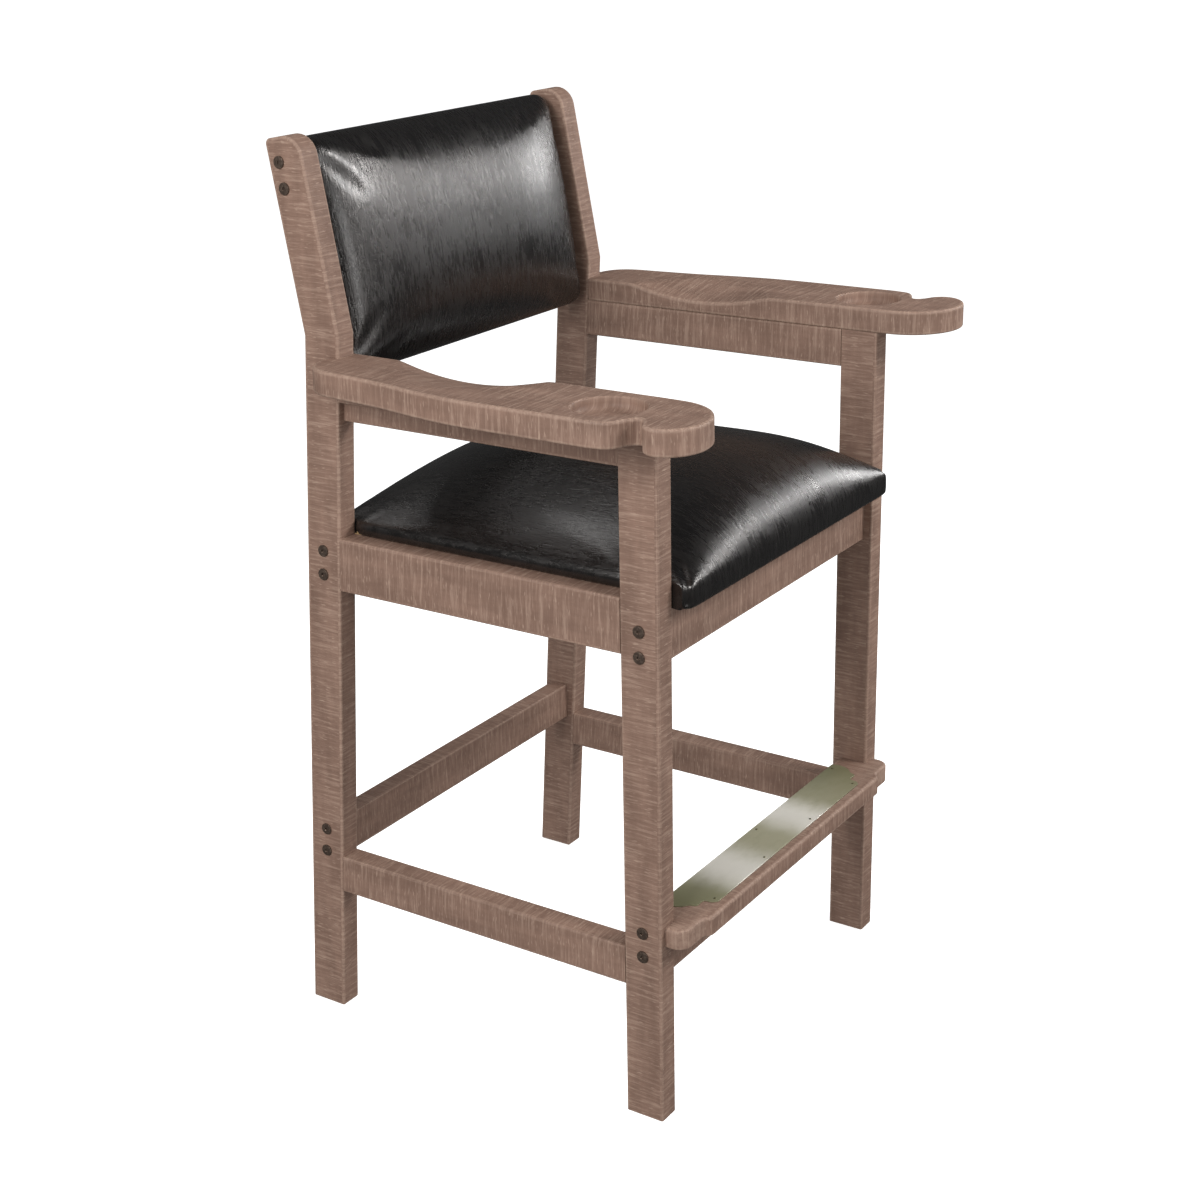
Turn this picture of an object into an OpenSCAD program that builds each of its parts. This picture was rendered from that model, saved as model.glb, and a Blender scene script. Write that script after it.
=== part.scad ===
// Bar-height spectator chair. X runs across the chair, -Y is the front, Z is up.
// Front-to-back places are measured from the front faces of the front legs and
// shifted at the end, so that the origin lies under the middle of the whole chair.
// The left side is the sitter's left, +X.

/* [Legs] */
// Width over the outer faces of the legs
frame_w = 588; // [540:1:640]
// Thickness of the leg boards, across the chair
leg_t = 31; // [28:0.5:36]
// Width of each front leg, front to back
front_leg_w = 52; // [48:1:60]
// Width of each rear leg
rear_leg_w = 53; // [48:1:60]
// Front of the front legs to the front of the rear feet
foot_pitch = 512; // [490:1:540]
// How far the rear legs lean forward between the floor and the bend
leg_lean = 60; // [40:1:70]
// Height of the bend in the rear legs
bend_z = 945; // [935:1:960]
// Rake of the posts above the bend, in degrees
post_rake = 10.5; // [8:0.5:13]
// Length of the posts above the bend
post_len = 247; // [235:1:265]
// Rounding of the front corner at the top of a post
post_front_r = 28; // [20:1:32]
// Rounding of the rear corner at the top of a post
post_rear_r = 7; // [3:1:12]

/* [Rails] */
// Height of the tops of the side seat rails
seat_rail_top = 683; // [660:1:700]
// Height of each seat rail board
seat_rail_h = 70; // [62:1:80]
// How much lower the front seat rail lies than the side rails
front_rail_drop = 15; // [8:1:20]
// Thickness of the boards that cross the chair
cross_t = 28; // [24:1:30]
// Set-back of the front cross boards from the front of the legs
cross_recess = 12; // [8:1:16]
// Height of the undersides of the side stretchers
side_stretcher_z = 179; // [150:1:190]
// Height of each side stretcher board
side_stretcher_h = 52; // [46:1:60]
// Height of the underside of the rear stretcher
rear_stretcher_z = 224; // [200:1:240]
// Height of the rear stretcher board
rear_stretcher_h = 54; // [48:1:60]
// Height of each arm rail board
arm_rail_h = 51; // [46:1:56]
// Thickness of each arm rail board
arm_rail_t = 20; // [18:1:22]
// Height of the strip under each arm
cleat_h = 25; // [20:1:30]

/* [Footrest] */
// Height of the top of the footrest board
footrest_top = 266; // [258:1:272]
// Thickness of the footrest board
footrest_t = 26; // [24:1:30]
// Overhang of the footrest board in front of the legs
footrest_nose = 35; // [30:1:42]
// Reach of the footrest board behind the front of the legs
footrest_back = 40; // [38:1:44]
// Set-back of the front of the two ears from the middle of the board
ear_step = 8; // [5:1:12]
// Gap between the end of an ear and the outer face of its leg
ear_inset = 9; // [5:1:12]
// Height of the rail under the footrest board
footrest_rail_h = 52; // [46:1:58]
// Length of the back edge of the kick plate
plate_len = 472; // [440:1:486]
// Length of the scallop at each front corner of the kick plate
scallop_len = 42; // [30:1:50]
// Width of the kick plate
plate_w = 60; // [54:1:64]
// Thickness of the kick plate
plate_t = 1.2; // [0.8:0.1:2]

/* [Arms] */
// Height of the undersides of the arms
arm_under = 887; // [860:1:895]
// Thickness of the arm boards
arm_t = 31.5; // [28:0.5:36]
// Reach of an arm inside its leg
arm_lap = 1.5; // [0.5:0.5:4]
// Reach of an arm outside its leg
arm_overhang = 93; // [84:1:104]
// Reach of the arm noses in front of the legs
nose_reach = 86; // [74:1:96]
// Diameter of the cup recess
cup_d = 86; // [76:1:90]
// Depth of the cup recess
cup_depth = 16; // [10:1:20]
// Centre of the cup recess outside the outer face of the leg
cup_out = 30; // [26:1:34]
// Centre of the cup recess behind the front face of the leg
cup_back = 42; // [38:1:48]
// Depth of the cue notch from the outer edge of the arm
notch_depth = 36; // [28:1:40]
// Depth of the elbow scoop at the inner edge of the arm
scoop_depth = 16; // [8:1:18]
// Length of the elbow scoop along the inner edge of the arm
scoop_len = 222; // [180:1:240]
// Width of the elbow scoop across the arm
scoop_w = 84; // [60:1:110]

/* [Seat] */
// Overhang of the seat cushion in front of the legs
seat_nose = 27; // [22:1:32]
// Rounding of the seat cushion's corners, seen from above
seat_corner_r = 18; // [12:1:30]
// Overlap of the seat cushion onto each side rail
seat_lap = 11; // [8:1:16]
// Reach of the seat cushion behind the front face of the rear legs
seat_tuck = 28; // [20:1:34]
// Height of the rolled edge of the seat cushion above the rails
seat_edge_h = 20; // [16:1:30]
// Rise of the seat crown above its edge
seat_crown = 56; // [40:1:66]
// Share of the seat crown that is left at its rear edge
seat_rear_keep = 0.85; // [0:0.05:0.9]
// Thickness of the plywood seat board
seat_board_t = 15; // [12:1:18]
// Thickness of the vinyl covers
cover_t = 1.2; // [0.8:0.1:1.6]

/* [Back] */
// Drop of the back panel below the bend of the legs, along the slope
back_drop = 58; // [50:1:64]
// Set-back of the front of the back board from the front of the posts
back_board_in = 27.5; // [24:0.5:30]
// Thickness of the plywood back board
back_board_t = 18; // [15:1:20]
// Set-back of the pad edge from the front of the posts
pad_edge_in = 9; // [5:1:14]
// Rounding of the back pad's corners, seen from the front
pad_corner_r = 22; // [14:1:34]
// Rise of the back crown in front of the pad edge
back_crown = 34; // [24:1:42]
// Thickness of the panel that closes the rear of the back
rear_panel_t = 4; // [3:0.5:6]

/* [Fasteners] */
// Diameter of the bolts and their barrel nuts' threads
bolt_d = 6; // [5:1:8]
// Diameter of the flat bolt heads
bolt_head_d = 15.5; // [13:0.5:17]
// Height of the flat bolt heads
bolt_head_t = 2.2; // [1.5:0.1:3]
// Distance between the two bolts of a pair
bolt_pitch = 32; // [30:1:34]
// Diameter of the barrel nuts
nut_d = 10; // [9.5:0.5:12]
// Length of the barrel nuts
nut_len = 15; // [12:1:16]
// Depth of the barrel nuts behind the inner faces of the legs
nut_inset = 62; // [56:1:70]
// Diameter of the wooden dowels
dowel_d = 8; // [6:1:10]
// Length of the wooden dowels
dowel_len = 40; // [34:1:42]
// Diameter of the screw shanks
screw_d = 4.2; // [3.5:0.1:5]
// Clearance of each pin, bolt or screw in its hole, on the radius
fit = 0.12; // [0.1:0.01:0.2]

/* [Hidden] */
$fn = 48;

wood = [0.56, 0.45, 0.39];
pale_wood = [0.80, 0.68, 0.52];
vinyl = [0.08, 0.08, 0.09];
foam = [0.93, 0.88, 0.70];
brass = [0.62, 0.60, 0.42];
dark_metal = [0.20, 0.17, 0.15];
zinc = [0.66, 0.68, 0.70];

leg_out = frame_w / 2;
leg_in = leg_out - leg_t;
leg_mid = leg_out - leg_t / 2;
lean_angle = atan(leg_lean / bend_z);
rear_run = rear_leg_w / cos(lean_angle);
bend_y = foot_pitch - leg_lean;
seat_rail_z = seat_rail_top - seat_rail_h;
front_rail_z = seat_rail_z - front_rail_drop;
footrest_under = footrest_top - footrest_t;
arm_top = arm_under + arm_t;
arm_in = leg_in - arm_lap;
arm_out = leg_out + arm_overhang;
cup_x = leg_out + cup_out;

// Front face and middle of a rear leg at a height below the bend
function rear_front(z) = foot_pitch - z * tan(lean_angle);
function rear_mid(z) = rear_front(z) + rear_run / 2;

// A point of the post's own frame: rise along its slope, depth behind its front face
function post_point(rise, depth) = [
    bend_y + rise * sin(post_rake) + depth * cos(post_rake),
    bend_z + rise * cos(post_rake) - depth * sin(post_rake)
];

// Points of an arc about a centre, from one angle to another
function arc(centre, r, from, to, steps = 8) =
    [for (i = [0:steps]) centre + r * [cos(from + (to - from) * i / steps),
                                       sin(from + (to - from) * i / steps)]];

// One span of a smooth curve through b and c, with a and d as its outer neighbours
function span(a, b, c, d, t) =
    0.5 * (2 * b + (c - a) * t + (2 * a - 5 * b + 4 * c - d) * t * t
           + (3 * b - 3 * c + d - a) * t * t * t);

// Smooth curve through a list of points
function smooth(p, steps = 5) = let (n = len(p) - 1) concat(
    [for (i = [0:n - 1], k = [0:steps - 1])
        span(i == 0 ? 2 * p[0] - p[1] : p[i - 1], p[i], p[i + 1],
             i == n - 1 ? 2 * p[n] - p[n - 1] : p[i + 2], k / steps)],
    [p[n]]);

// A closed outline from its +X half, which has no points on the middle line
function mirrored(half) =
    concat(half, [for (i = [len(half) - 1:-1:0]) [-half[i][0], half[i][1]]]);

// Bolt pairs: heights of the lower and the upper bolt
function pair(middle) = [middle - bolt_pitch / 2, middle + bolt_pitch / 2];
front_seat_bolts = pair(front_rail_z + seat_rail_h / 2 - 3);
rear_seat_bolts = pair(seat_rail_z + seat_rail_h / 2);
footrest_bolts = pair(footrest_under);
rear_low_bolts = pair(rear_stretcher_z + rear_stretcher_h / 2);
back_bolt_depth = back_board_in + back_board_t / 2;
back_bolt_top = post_len - 30;
back_bolts = [back_bolt_top - bolt_pitch, back_bolt_top];
back_dowel_rises = [-38, -14];

// Place [y, z] of each bolt on a side frame
bolt_places = concat(
    [for (z = concat(front_seat_bolts, footrest_bolts)) [front_leg_w / 2, z]],
    [for (z = concat(rear_seat_bolts, rear_low_bolts)) [rear_mid(z), z]],
    [for (rise = back_bolts) post_point(rise, back_bolt_depth)]);

// Place [y, z] of each dowel that joins the back board to a leg
back_dowels = [for (rise = back_dowel_rises) post_point(rise, back_bolt_depth)];

// Dowel rows of a side frame: [x, heights, place along Y of the joint]
rail_dowel_z = [seat_rail_z + 18, seat_rail_top - 18];
stretcher_dowel_z = [side_stretcher_z + 14, side_stretcher_z + side_stretcher_h - 14];
arm_rail_z = arm_under - arm_rail_h;
arm_dowel_z = [arm_rail_z + 13, arm_under - 13];
arm_rail_mid = leg_in + arm_rail_t / 2;
side_dowels = concat(
    [for (z = concat(rail_dowel_z, stretcher_dowel_z)) [leg_mid, z]],
    [for (z = arm_dowel_z) [arm_rail_mid, z]]);

// The wooden peg from the top of a front leg into its arm
peg_x = leg_in + 8;
peg_y = 12;
peg_len = 36;

// The seat cushion, front to back and across
seat_front_y = -seat_nose;
seat_rear_y = rear_front(seat_rail_top) + seat_tuck;
seat_mid_y = (seat_front_y + seat_rear_y) / 2;
seat_half_x = leg_in + seat_lap;
seat_half_y = (seat_rear_y - seat_front_y) / 2;
seat_board_z = seat_rail_top + cover_t + 0.1;
seat_gap = 0.4;
seat_under_tuck = 7;
seat_spread = 1.6;
seat_board_inset = 10;
flap = 18;

// Corner blocks and the screws that hold the seat from below
block_leg = 52;
block_nose = 14;
block_h = 30;
block_z = seat_rail_top - block_h;
seat_screw_in = 21;
front_rail_back = cross_recess + cross_t;
rear_rail_y = rear_mid(seat_rail_z + seat_rail_h / 2) - cross_t / 2;
seat_screw_y = [front_rail_back + seat_screw_in, rear_rail_y - seat_screw_in];
seat_screw_x = leg_in - seat_screw_in;
screw_head_d = 8.4;
screw_head_t = 3;
screw_bore_d = 10;
screw_bore_len = 8;
seat_screw_head_z = block_z + screw_bore_len;
seat_screw_len = seat_board_z + seat_board_t - 3 - seat_screw_head_z;

// The back pad in the post's own frame
pad_low = -back_drop;
pad_high = post_len - 3;
pad_mid = (pad_low + pad_high) / 2;
pad_half = (pad_high - pad_low) / 2;
pad_half_x = leg_in - 0.6;
pad_back = back_board_in + back_board_t + cover_t;
pad_edge = pad_back - pad_edge_in;
board_inset = 5;
pad_under_tuck = 2.5;

// The screws that hold an arm, driven up through its rail
arm_screw_in = 85;
arm_screw_depth = 24;
arm_screw_bite = 14;
arm_screw_y = [front_leg_w + arm_screw_in, bend_y - arm_screw_in];
arm_screw_head_z = arm_under - arm_screw_depth;
arm_screw_tip_z = arm_under + arm_screw_bite;

// The middle of the whole chair, front to back
chair_mid_y = (foot_pitch + rear_run - nose_reach) / 2;

module placed() { translate([0, -chair_mid_y, 0]) children(); }
module left_or_right(side) { mirror([side < 0 ? 1 : 0, 0, 0]) children(); }
module both_sides() { for (side = [-1, 1]) left_or_right(side) children(); }

// A board cut from a side outline of [y, z] points, t thick from x outwards
module side_board(points, x, t) {
    translate([x, 0, 0]) rotate([90, 0, 90]) linear_extrude(t) polygon(points);
}

// A board that crosses the chair between the legs
module cross_board(y, z, h) {
    translate([-leg_in, y, z]) cube([2 * leg_in, cross_t, h]);
}

// A round bar along X from x0 to x1
module bar_x(x0, x1, y, z, d) {
    translate([x0, y, z]) rotate([0, 90, 0]) cylinder(d = d, h = x1 - x0);
}

// A round bar along Y from y0 to y1
module bar_y(y0, y1, x, z, d) {
    translate([x, y0, z]) rotate([-90, 0, 0]) cylinder(d = d, h = y1 - y0);
}

// Bolt holes through a left leg
module bolt_holes() {
    for (p = bolt_places) bar_x(leg_in - 1, leg_out + 1, p[0], p[1], bolt_d + 2 * fit);
}

// Holes for the bolts and barrel nuts in both ends of a cross board
module cross_holes(y, heights, face_y) {
    both_sides() for (z = heights) {
        bar_x(leg_in - nut_inset - nut_d, leg_in + 1, y, z, bolt_d + 2 * fit);
        bar_y(min(face_y, y - nut_len / 2), max(face_y, y + nut_len / 2),
              leg_in - nut_inset, z, nut_d + 2 * fit);
    }
}

// Holes for the side frame's dowels at a joint face; a sloped face takes them too
module side_dowel_holes() {
    reach = dowel_len / 2 + 0.5;
    for (p = side_dowels) {
        bar_y(front_leg_w - reach, front_leg_w + reach, p[0], p[1], dowel_d + 2 * fit);
        bar_y(rear_front(p[1]) - reach, rear_front(p[1]) + reach, p[0], p[1], dowel_d + 2 * fit);
    }
}

module front_leg() {
    color(wood) placed() difference() {
        translate([leg_in, 0, 0]) cube([leg_t, front_leg_w, arm_under]);
        bolt_holes();
        side_dowel_holes();
        translate([peg_x, peg_y, arm_under - peg_len / 2 - 0.5])
            cylinder(d = dowel_d + 2 * fit, h = peg_len);
    }
}

// Outline of a rear leg: foot, mitred bend, and the rounded top of the post
function rear_leg_outline() = let (
    half = (post_rake + lean_angle) / 2,
    turn = (post_rake - lean_angle) / 2,
    run = rear_leg_w / cos(half)
) concat(
    [[foot_pitch, 0], [bend_y, bend_z]],
    [for (a = [0:10:90]) post_point(post_len - post_front_r * (1 - sin(a)),
                                    post_front_r * (1 - cos(a)))],
    [for (a = [0:15:90]) post_point(post_len - post_rear_r * (1 - cos(a)),
                                    rear_leg_w - post_rear_r * (1 - sin(a)))],
    [[bend_y + run * cos(turn), bend_z - run * sin(turn)], [foot_pitch + rear_run, 0]]);

module rear_leg() {
    color(wood) placed() difference() {
        side_board(rear_leg_outline(), leg_in, leg_t);
        bolt_holes();
        side_dowel_holes();
        for (p = back_dowels)
            bar_x(leg_in - 1, leg_in + dowel_len / 2 + 0.5, p[0], p[1], dowel_d + 2 * fit);
    }
}

// A rail of a side frame, from the front leg to the sloped front of the rear leg
module side_rail(z, h, x, t) {
    side_board([[front_leg_w, z], [rear_front(z), z],
                [rear_front(z + h), z + h], [front_leg_w, z + h]], x, t);
}

module seat_rail_side() {
    color(wood) placed() difference() {
        side_rail(seat_rail_z, seat_rail_h, leg_in, leg_t);
        side_dowel_holes();
    }
}

module stretcher_side() {
    color(wood) placed() difference() {
        side_rail(side_stretcher_z, side_stretcher_h, leg_in, leg_t);
        side_dowel_holes();
    }
}

module seat_rail_front() {
    color(wood) placed() difference() {
        cross_board(cross_recess, front_rail_z, seat_rail_h);
        cross_holes(front_leg_w / 2, front_seat_bolts, front_rail_back + 1);
    }
}

module seat_rail_rear() {
    color(wood) placed() difference() {
        cross_board(rear_rail_y, seat_rail_z, seat_rail_h);
        for (z = rear_seat_bolts) cross_holes(rear_mid(z), [z], rear_rail_y - 1);
    }
}

rear_stretcher_y = rear_mid(rear_stretcher_z + rear_stretcher_h / 2) - cross_t / 2;

module stretcher_rear() {
    color(wood) placed() difference() {
        cross_board(rear_stretcher_y, rear_stretcher_z, rear_stretcher_h);
        for (z = rear_low_bolts) cross_holes(rear_mid(z), [z], rear_stretcher_y + cross_t + 1);
    }
}

module footrest_rail() {
    color(wood) placed() difference() {
        cross_board(cross_recess, footrest_under - footrest_rail_h, footrest_rail_h);
        cross_holes(front_leg_w / 2, [footrest_bolts[0]], front_rail_back + 1);
    }
}

// Plan of one half of the footrest board: notched round the leg, with a rounded ear
function footrest_half() = let (
    ear_x = leg_out - ear_inset,
    ear_y = -footrest_nose + ear_step,
    r = 17
) concat(
    [[leg_in - 32, -footrest_nose], [leg_in - 22, ear_y]],
    arc([ear_x - r, ear_y + r], r, -90, 0),
    [[ear_x, -0.3], [leg_in - 0.3, -0.3], [leg_in - 0.3, footrest_back]]);

plate_back_y = footrest_back - 2;
plate_nail_y = [plate_back_y - plate_w + 7, plate_back_y - 7];
plate_nails = concat(
    [for (k = [-1, -1/3, 1/3, 1]) [k * (plate_len / 2 - scallop_len - 3), plate_nail_y[0]]],
    [for (k = [-1, 0, 1]) [k * (plate_len / 2 - 16), plate_nail_y[1]]]);
nail_d = 1.6;
nail_clear = 0.5;
nail_len = footrest_top - footrest_bolts[1] - nut_d / 2 - nail_clear;
nail_head_d = 3.6;
nail_head_t = 0.7;

module footrest_board() {
    color(wood) placed() difference() {
        translate([0, 0, footrest_under]) linear_extrude(footrest_t)
            polygon(mirrored(footrest_half()));
        cross_holes(front_leg_w / 2, [footrest_bolts[1]], footrest_back + 1);
        for (p = plate_nails) translate([p[0], p[1], footrest_top - nail_len])
            cylinder(d = nail_d + 2 * fit, h = nail_len + 1, $fn = 16);
    }
}

// Plan of one half of the kick plate: square at the back, a round tongue and a
// hollow scallop at the front corner
function plate_half() = let (
    end_x = plate_len / 2,
    front_y = plate_back_y - plate_w,
    cusp = [end_x - 9, plate_back_y - 34],
    corner = [end_x - scallop_len, front_y]
) concat(
    [[end_x - 3, plate_back_y]],
    smooth([[end_x, plate_back_y - 4], [end_x + 1, plate_back_y - 20],
            [end_x - 2, plate_back_y - 32], cusp], 3),
    smooth([cusp, cusp + [-5, -9], (cusp + corner) / 2 + [-4, 6], corner + [5, 5], corner], 3));

module kick_plate() {
    color(brass) placed() difference() {
        translate([0, 0, footrest_top]) linear_extrude(plate_t)
            polygon(mirrored(plate_half()));
        for (p = plate_nails) translate([p[0], p[1], footrest_top - 1])
            cylinder(d = nail_d + 2 * fit, h = plate_t + 2, $fn = 16);
    }
}

module kick_plate_nails() {
    color(brass) placed() for (p = plate_nails) translate([p[0], p[1], 0]) {
        translate([0, 0, footrest_top - nail_len + nail_clear])
            cylinder(d = nail_d, h = nail_len - nail_clear + plate_t, $fn = 16);
        translate([0, 0, footrest_top + plate_t])
            cylinder(d1 = nail_head_d, d2 = nail_head_d - 1.2, h = nail_head_t, $fn = 16);
    }
}

module arm_screw_holes() {
    for (y = arm_screw_y) translate([arm_rail_mid, y, 0]) {
        translate([0, 0, arm_rail_z - 1])
            cylinder(d = screw_bore_d, h = arm_screw_head_z - arm_rail_z + 1);
        translate([0, 0, arm_screw_head_z - 1])
            cylinder(d = screw_d + 2 * fit, h = arm_screw_tip_z - arm_screw_head_z + 1.5);
    }
}

module arm_rail() {
    color(wood) placed() difference() {
        side_rail(arm_rail_z, arm_rail_h, leg_in, arm_rail_t);
        side_dowel_holes();
        arm_screw_holes();
    }
}

module arm_cleat() {
    color(wood) placed()
        side_rail(arm_under - cleat_h, cleat_h, leg_in + arm_rail_t, leg_t - arm_rail_t);
}

// Plan of an arm: straight inner edge, broad round nose, cue notch, cup lobe,
// flared outer edge and the ear beside the post
function arm_outline() = let (
    notch_x = arm_out - notch_depth,
    nose_y = -nose_reach,
    post_y = rear_front(arm_top) - 0.4
) concat(
    [[arm_in, post_y]],
    smooth([[arm_in, 6], [arm_in + 3, nose_y + 54], [arm_in + 18, nose_y + 25],
            [arm_in + 44, nose_y + 6], [arm_in + 72, nose_y], [arm_out - 30, nose_y + 5],
            [arm_out - 12, nose_y + 19], [arm_out - 5, nose_y + 38],
            [arm_out - 13, nose_y + 54], [notch_x + 7, nose_y + 63],
            [notch_x, nose_y + 72], [notch_x + 8, nose_y + 81],
            [arm_out - 14, nose_y + 87], [arm_out - 4, nose_y + 97],
            [arm_out, nose_y + 118]], 4),
    smooth([[arm_out, 62], [arm_out, 150], [arm_out - 2, 215], [arm_out - 10, 275],
            [arm_out - 21, 330], [arm_out - 29, 390], [arm_out - 34, 432],
            [arm_out - 47, 455], [arm_out - 68, 466], [leg_out + 0.4, 469]], 4),
    [[leg_out + 0.4, post_y]]);

// The elbow scoop is a wide drum laid across the arm and tipped down to its inner edge
module scoop_cut() {
    r = (scoop_len * scoop_len / 4 + scoop_depth * scoop_depth) / (2 * scoop_depth);
    tip = atan(scoop_depth / scoop_w);
    translate([arm_in, 272, arm_top - scoop_depth]) rotate([0, -tip, 0])
        translate([-60, 0, r]) rotate([0, 90, 0]) cylinder(r = r, h = scoop_w + 160, $fn = 120);
}

module arm() {
    color(wood) placed() difference() {
        translate([0, 0, arm_under]) linear_extrude(arm_t) polygon(arm_outline());
        translate([cup_x, cup_back, arm_top - cup_depth]) cylinder(d = cup_d, h = cup_depth + 1, $fn = 96);
        scoop_cut();
        arm_screw_holes();
        translate([peg_x, peg_y, arm_under - 1])
            cylinder(d = dowel_d + 2 * fit, h = peg_len / 2 + 1.5);
    }
}

module arm_screws() {
    color(zinc) placed() both_sides() for (y = arm_screw_y) translate([arm_rail_mid, y, 0]) {
        translate([0, 0, arm_screw_head_z - screw_head_t])
            cylinder(d = screw_head_d, h = screw_head_t);
        translate([0, 0, arm_screw_head_z - 1])
            cylinder(d = screw_d, h = arm_screw_tip_z - arm_screw_head_z + 1);
    }
}

// Height profile of a cushion: 0 at its rim, but for the share kept at its rear edge
function crown(s, t, spread, keep) =
    (1 - pow(abs(s), spread)) * (1 - (t > 0 ? 1 - keep : 1) * pow(abs(t), 4));

// Points of a rounded rectangle, closer together near its corners
function rounded(half_x, half_y, r) = let (
    cx = half_x - r,
    cy = half_y - r,
    steps = [0.8, 0.48, 0, -0.48, -0.8]
) concat(
    arc([cx, cy], r, 0, 90, 5), [for (s = steps) [s * cx, half_y]],
    arc([-cx, cy], r, 90, 180, 5), [for (s = steps) [-half_x, s * cy]],
    arc([-cx, -cy], r, 180, 270, 5), [for (s = steps) [-s * cx, -half_y]],
    arc([cx, -cy], r, 270, 360, 5), [for (s = steps) [half_x, -s * cy]]);

// Rings of a cushion from its underside up: [inset from the rim, part of the way to
// the middle, height in edges, share of the lip]
function cushion_rings(tuck) = [
    [30, 0, 0, 0], [tuck, 0, 0, 1], [1.5, 0, 0.28, 1], [0, 0, 0.55, 0.8], [2.5, 0, 0.85, 0.4],
    [7, 0, 1.08, 0.1], [12, 0.04, 1.2, 0], [12, 0.13, 1.2, 0], [12, 0.28, 1.2, 0],
    [12, 0.48, 1.2, 0], [12, 0.72, 1.2, 0]];

// A cushion that stands on z = 0: tucked underside, bulging side and crowned top
module cushion(half_x, half_y, edge, rise, r, tuck, lip = 0, spread = 2.3, keep = 0) {
    rim = rounded(half_x, half_y, r);
    rings = cushion_rings(tuck);
    n = len(rim);
    points = concat(
        [for (c = rings, q = rim) let (
            x = q[0] * (1 - c[0] / half_x) * (1 - c[1]),
            y = q[1] * (1 - c[0] / half_y) * (1 - c[1]),
            drop = lip * c[3] * max(0, min(1, (0.80 * -half_y - y) / (0.12 * half_y))),
            swell = c[2] < 1 ? 0 : rise * crown(x / half_x, y / half_y, spread, keep)
        ) [x, y, c[2] * edge - drop + swell]],
        [[0, 0, 0], [0, 0, 1.2 * edge + rise]]);
    last = (len(rings) - 1) * n;
    polyhedron(points, concat(
        [for (j = [0:len(rings) - 2], k = [0:n - 1]) let (m = (k + 1) % n)
            each [[j * n + k, (j + 1) * n + k, (j + 1) * n + m], [j * n + k, (j + 1) * n + m, j * n + m]]],
        [for (k = [0:n - 1]) [len(points) - 2, k, (k + 1) % n]],
        [for (k = [0:n - 1]) [len(points) - 1, last + (k + 1) % n, last + k]]));
}

// The seat cushion shrunk by a skin, clear of the legs that it is notched round
module seat_form(skin) {
    difference() {
        translate([0, seat_mid_y, seat_rail_top + skin])
            cushion(seat_half_x - skin, seat_half_y - skin, seat_edge_h - skin, seat_crown - skin,
                    seat_corner_r - skin, seat_under_tuck, front_rail_drop + 1 - skin,
                    seat_spread, seat_rear_keep);
        translate([-leg_out, front_rail_back - 3, seat_rail_z])
            cube([frame_w, foot_pitch, seat_rail_h + skin]);
        both_sides() {
            translate([leg_in - seat_gap - skin, -2 * seat_nose, 0])
                cube([leg_t * 2, 2 * seat_nose + front_leg_w + seat_gap + skin, arm_under]);
            side_board([[rear_front(0) - seat_gap - skin, 0], [foot_pitch + rear_run, 0],
                        [foot_pitch + rear_run, arm_under],
                        [rear_front(arm_under) - seat_gap - skin, arm_under]],
                       leg_in - seat_gap - skin, leg_t * 2);
        }
    }
}

module seat_cover() {
    color(vinyl) placed() difference() {
        seat_form(0);
        seat_form(cover_t);
        translate([-leg_in + flap, front_rail_back - 10, seat_rail_top - 1])
            cube([2 * (leg_in - flap), seat_rear_y - flap - front_rail_back + 10, 5]);
    }
}

// The seat board rests on the side rails between the legs
module seat_board_plan(grow) {
    lean_y = rear_front(seat_board_z + seat_board_t);
    square_w = leg_in - seat_gap - cover_t - 0.4 + grow;
    wing_w = seat_half_x - seat_board_inset + grow;
    front_y = seat_front_y + seat_board_inset + 7;
    translate([-square_w, front_y - grow])
        square([2 * square_w, seat_rear_y - seat_board_inset - 4 - front_y + 2 * grow]);
    translate([-wing_w, front_leg_w + 3 - grow])
        square([2 * wing_w, lean_y - 3 - front_leg_w - 3 + 2 * grow]);
}

module seat_screw_holes(d) {
    both_sides() for (y = seat_screw_y) translate([seat_screw_x, y, seat_screw_head_z - 1])
        cylinder(d = d, h = seat_screw_len + 1.5);
}

module seat_board() {
    color(pale_wood) placed() difference() {
        translate([0, 0, seat_board_z]) linear_extrude(seat_board_t) seat_board_plan(0);
        seat_screw_holes(screw_d + 2 * fit);
    }
}

module seat_foam() {
    color(foam) placed() difference() {
        seat_form(cover_t + 0.3);
        translate([0, 0, seat_board_z - 30]) linear_extrude(seat_board_t + 30.3) seat_board_plan(0.3);
    }
}

module corner_blocks() {
    color(pale_wood) placed() difference() {
        both_sides() for (end = [0, 1])
            translate([leg_in, end == 0 ? front_rail_back : rear_rail_y, block_z])
                mirror([0, end, 0]) linear_extrude(block_h)
                    polygon([[0, 0], [0, block_leg], [-block_nose, block_leg], [-block_leg, block_nose],
                             [-block_leg, 0]]);
        seat_screw_holes(screw_d + 2 * fit);
        both_sides() for (y = seat_screw_y) translate([seat_screw_x, y, block_z - 1])
            cylinder(d = screw_bore_d, h = screw_bore_len + 1);
    }
}

module seat_screws() {
    color(zinc) placed() both_sides() for (y = seat_screw_y)
        translate([seat_screw_x, y, seat_screw_head_z]) {
            cylinder(d = screw_d, h = seat_screw_len);
            translate([0, 0, -screw_head_t]) cylinder(d = screw_head_d, h = screw_head_t);
        }
}

// Lays its children, drawn flat with the crown up, into the raked plane of the back
module on_back(depth) {
    p = post_point(pad_mid, depth);
    translate([0, p[0], p[1]]) rotate([90 - post_rake, 0, 0]) children();
}

module back_form(skin) {
    on_back(pad_back - skin)
        cushion(pad_half_x - skin, pad_half - skin, pad_edge / 1.2 - skin, back_crown - skin,
                pad_corner_r - skin, pad_under_tuck);
}

module back_plan(inset) {
    polygon(rounded(pad_half_x - inset, pad_half - inset, pad_corner_r));
}

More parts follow.
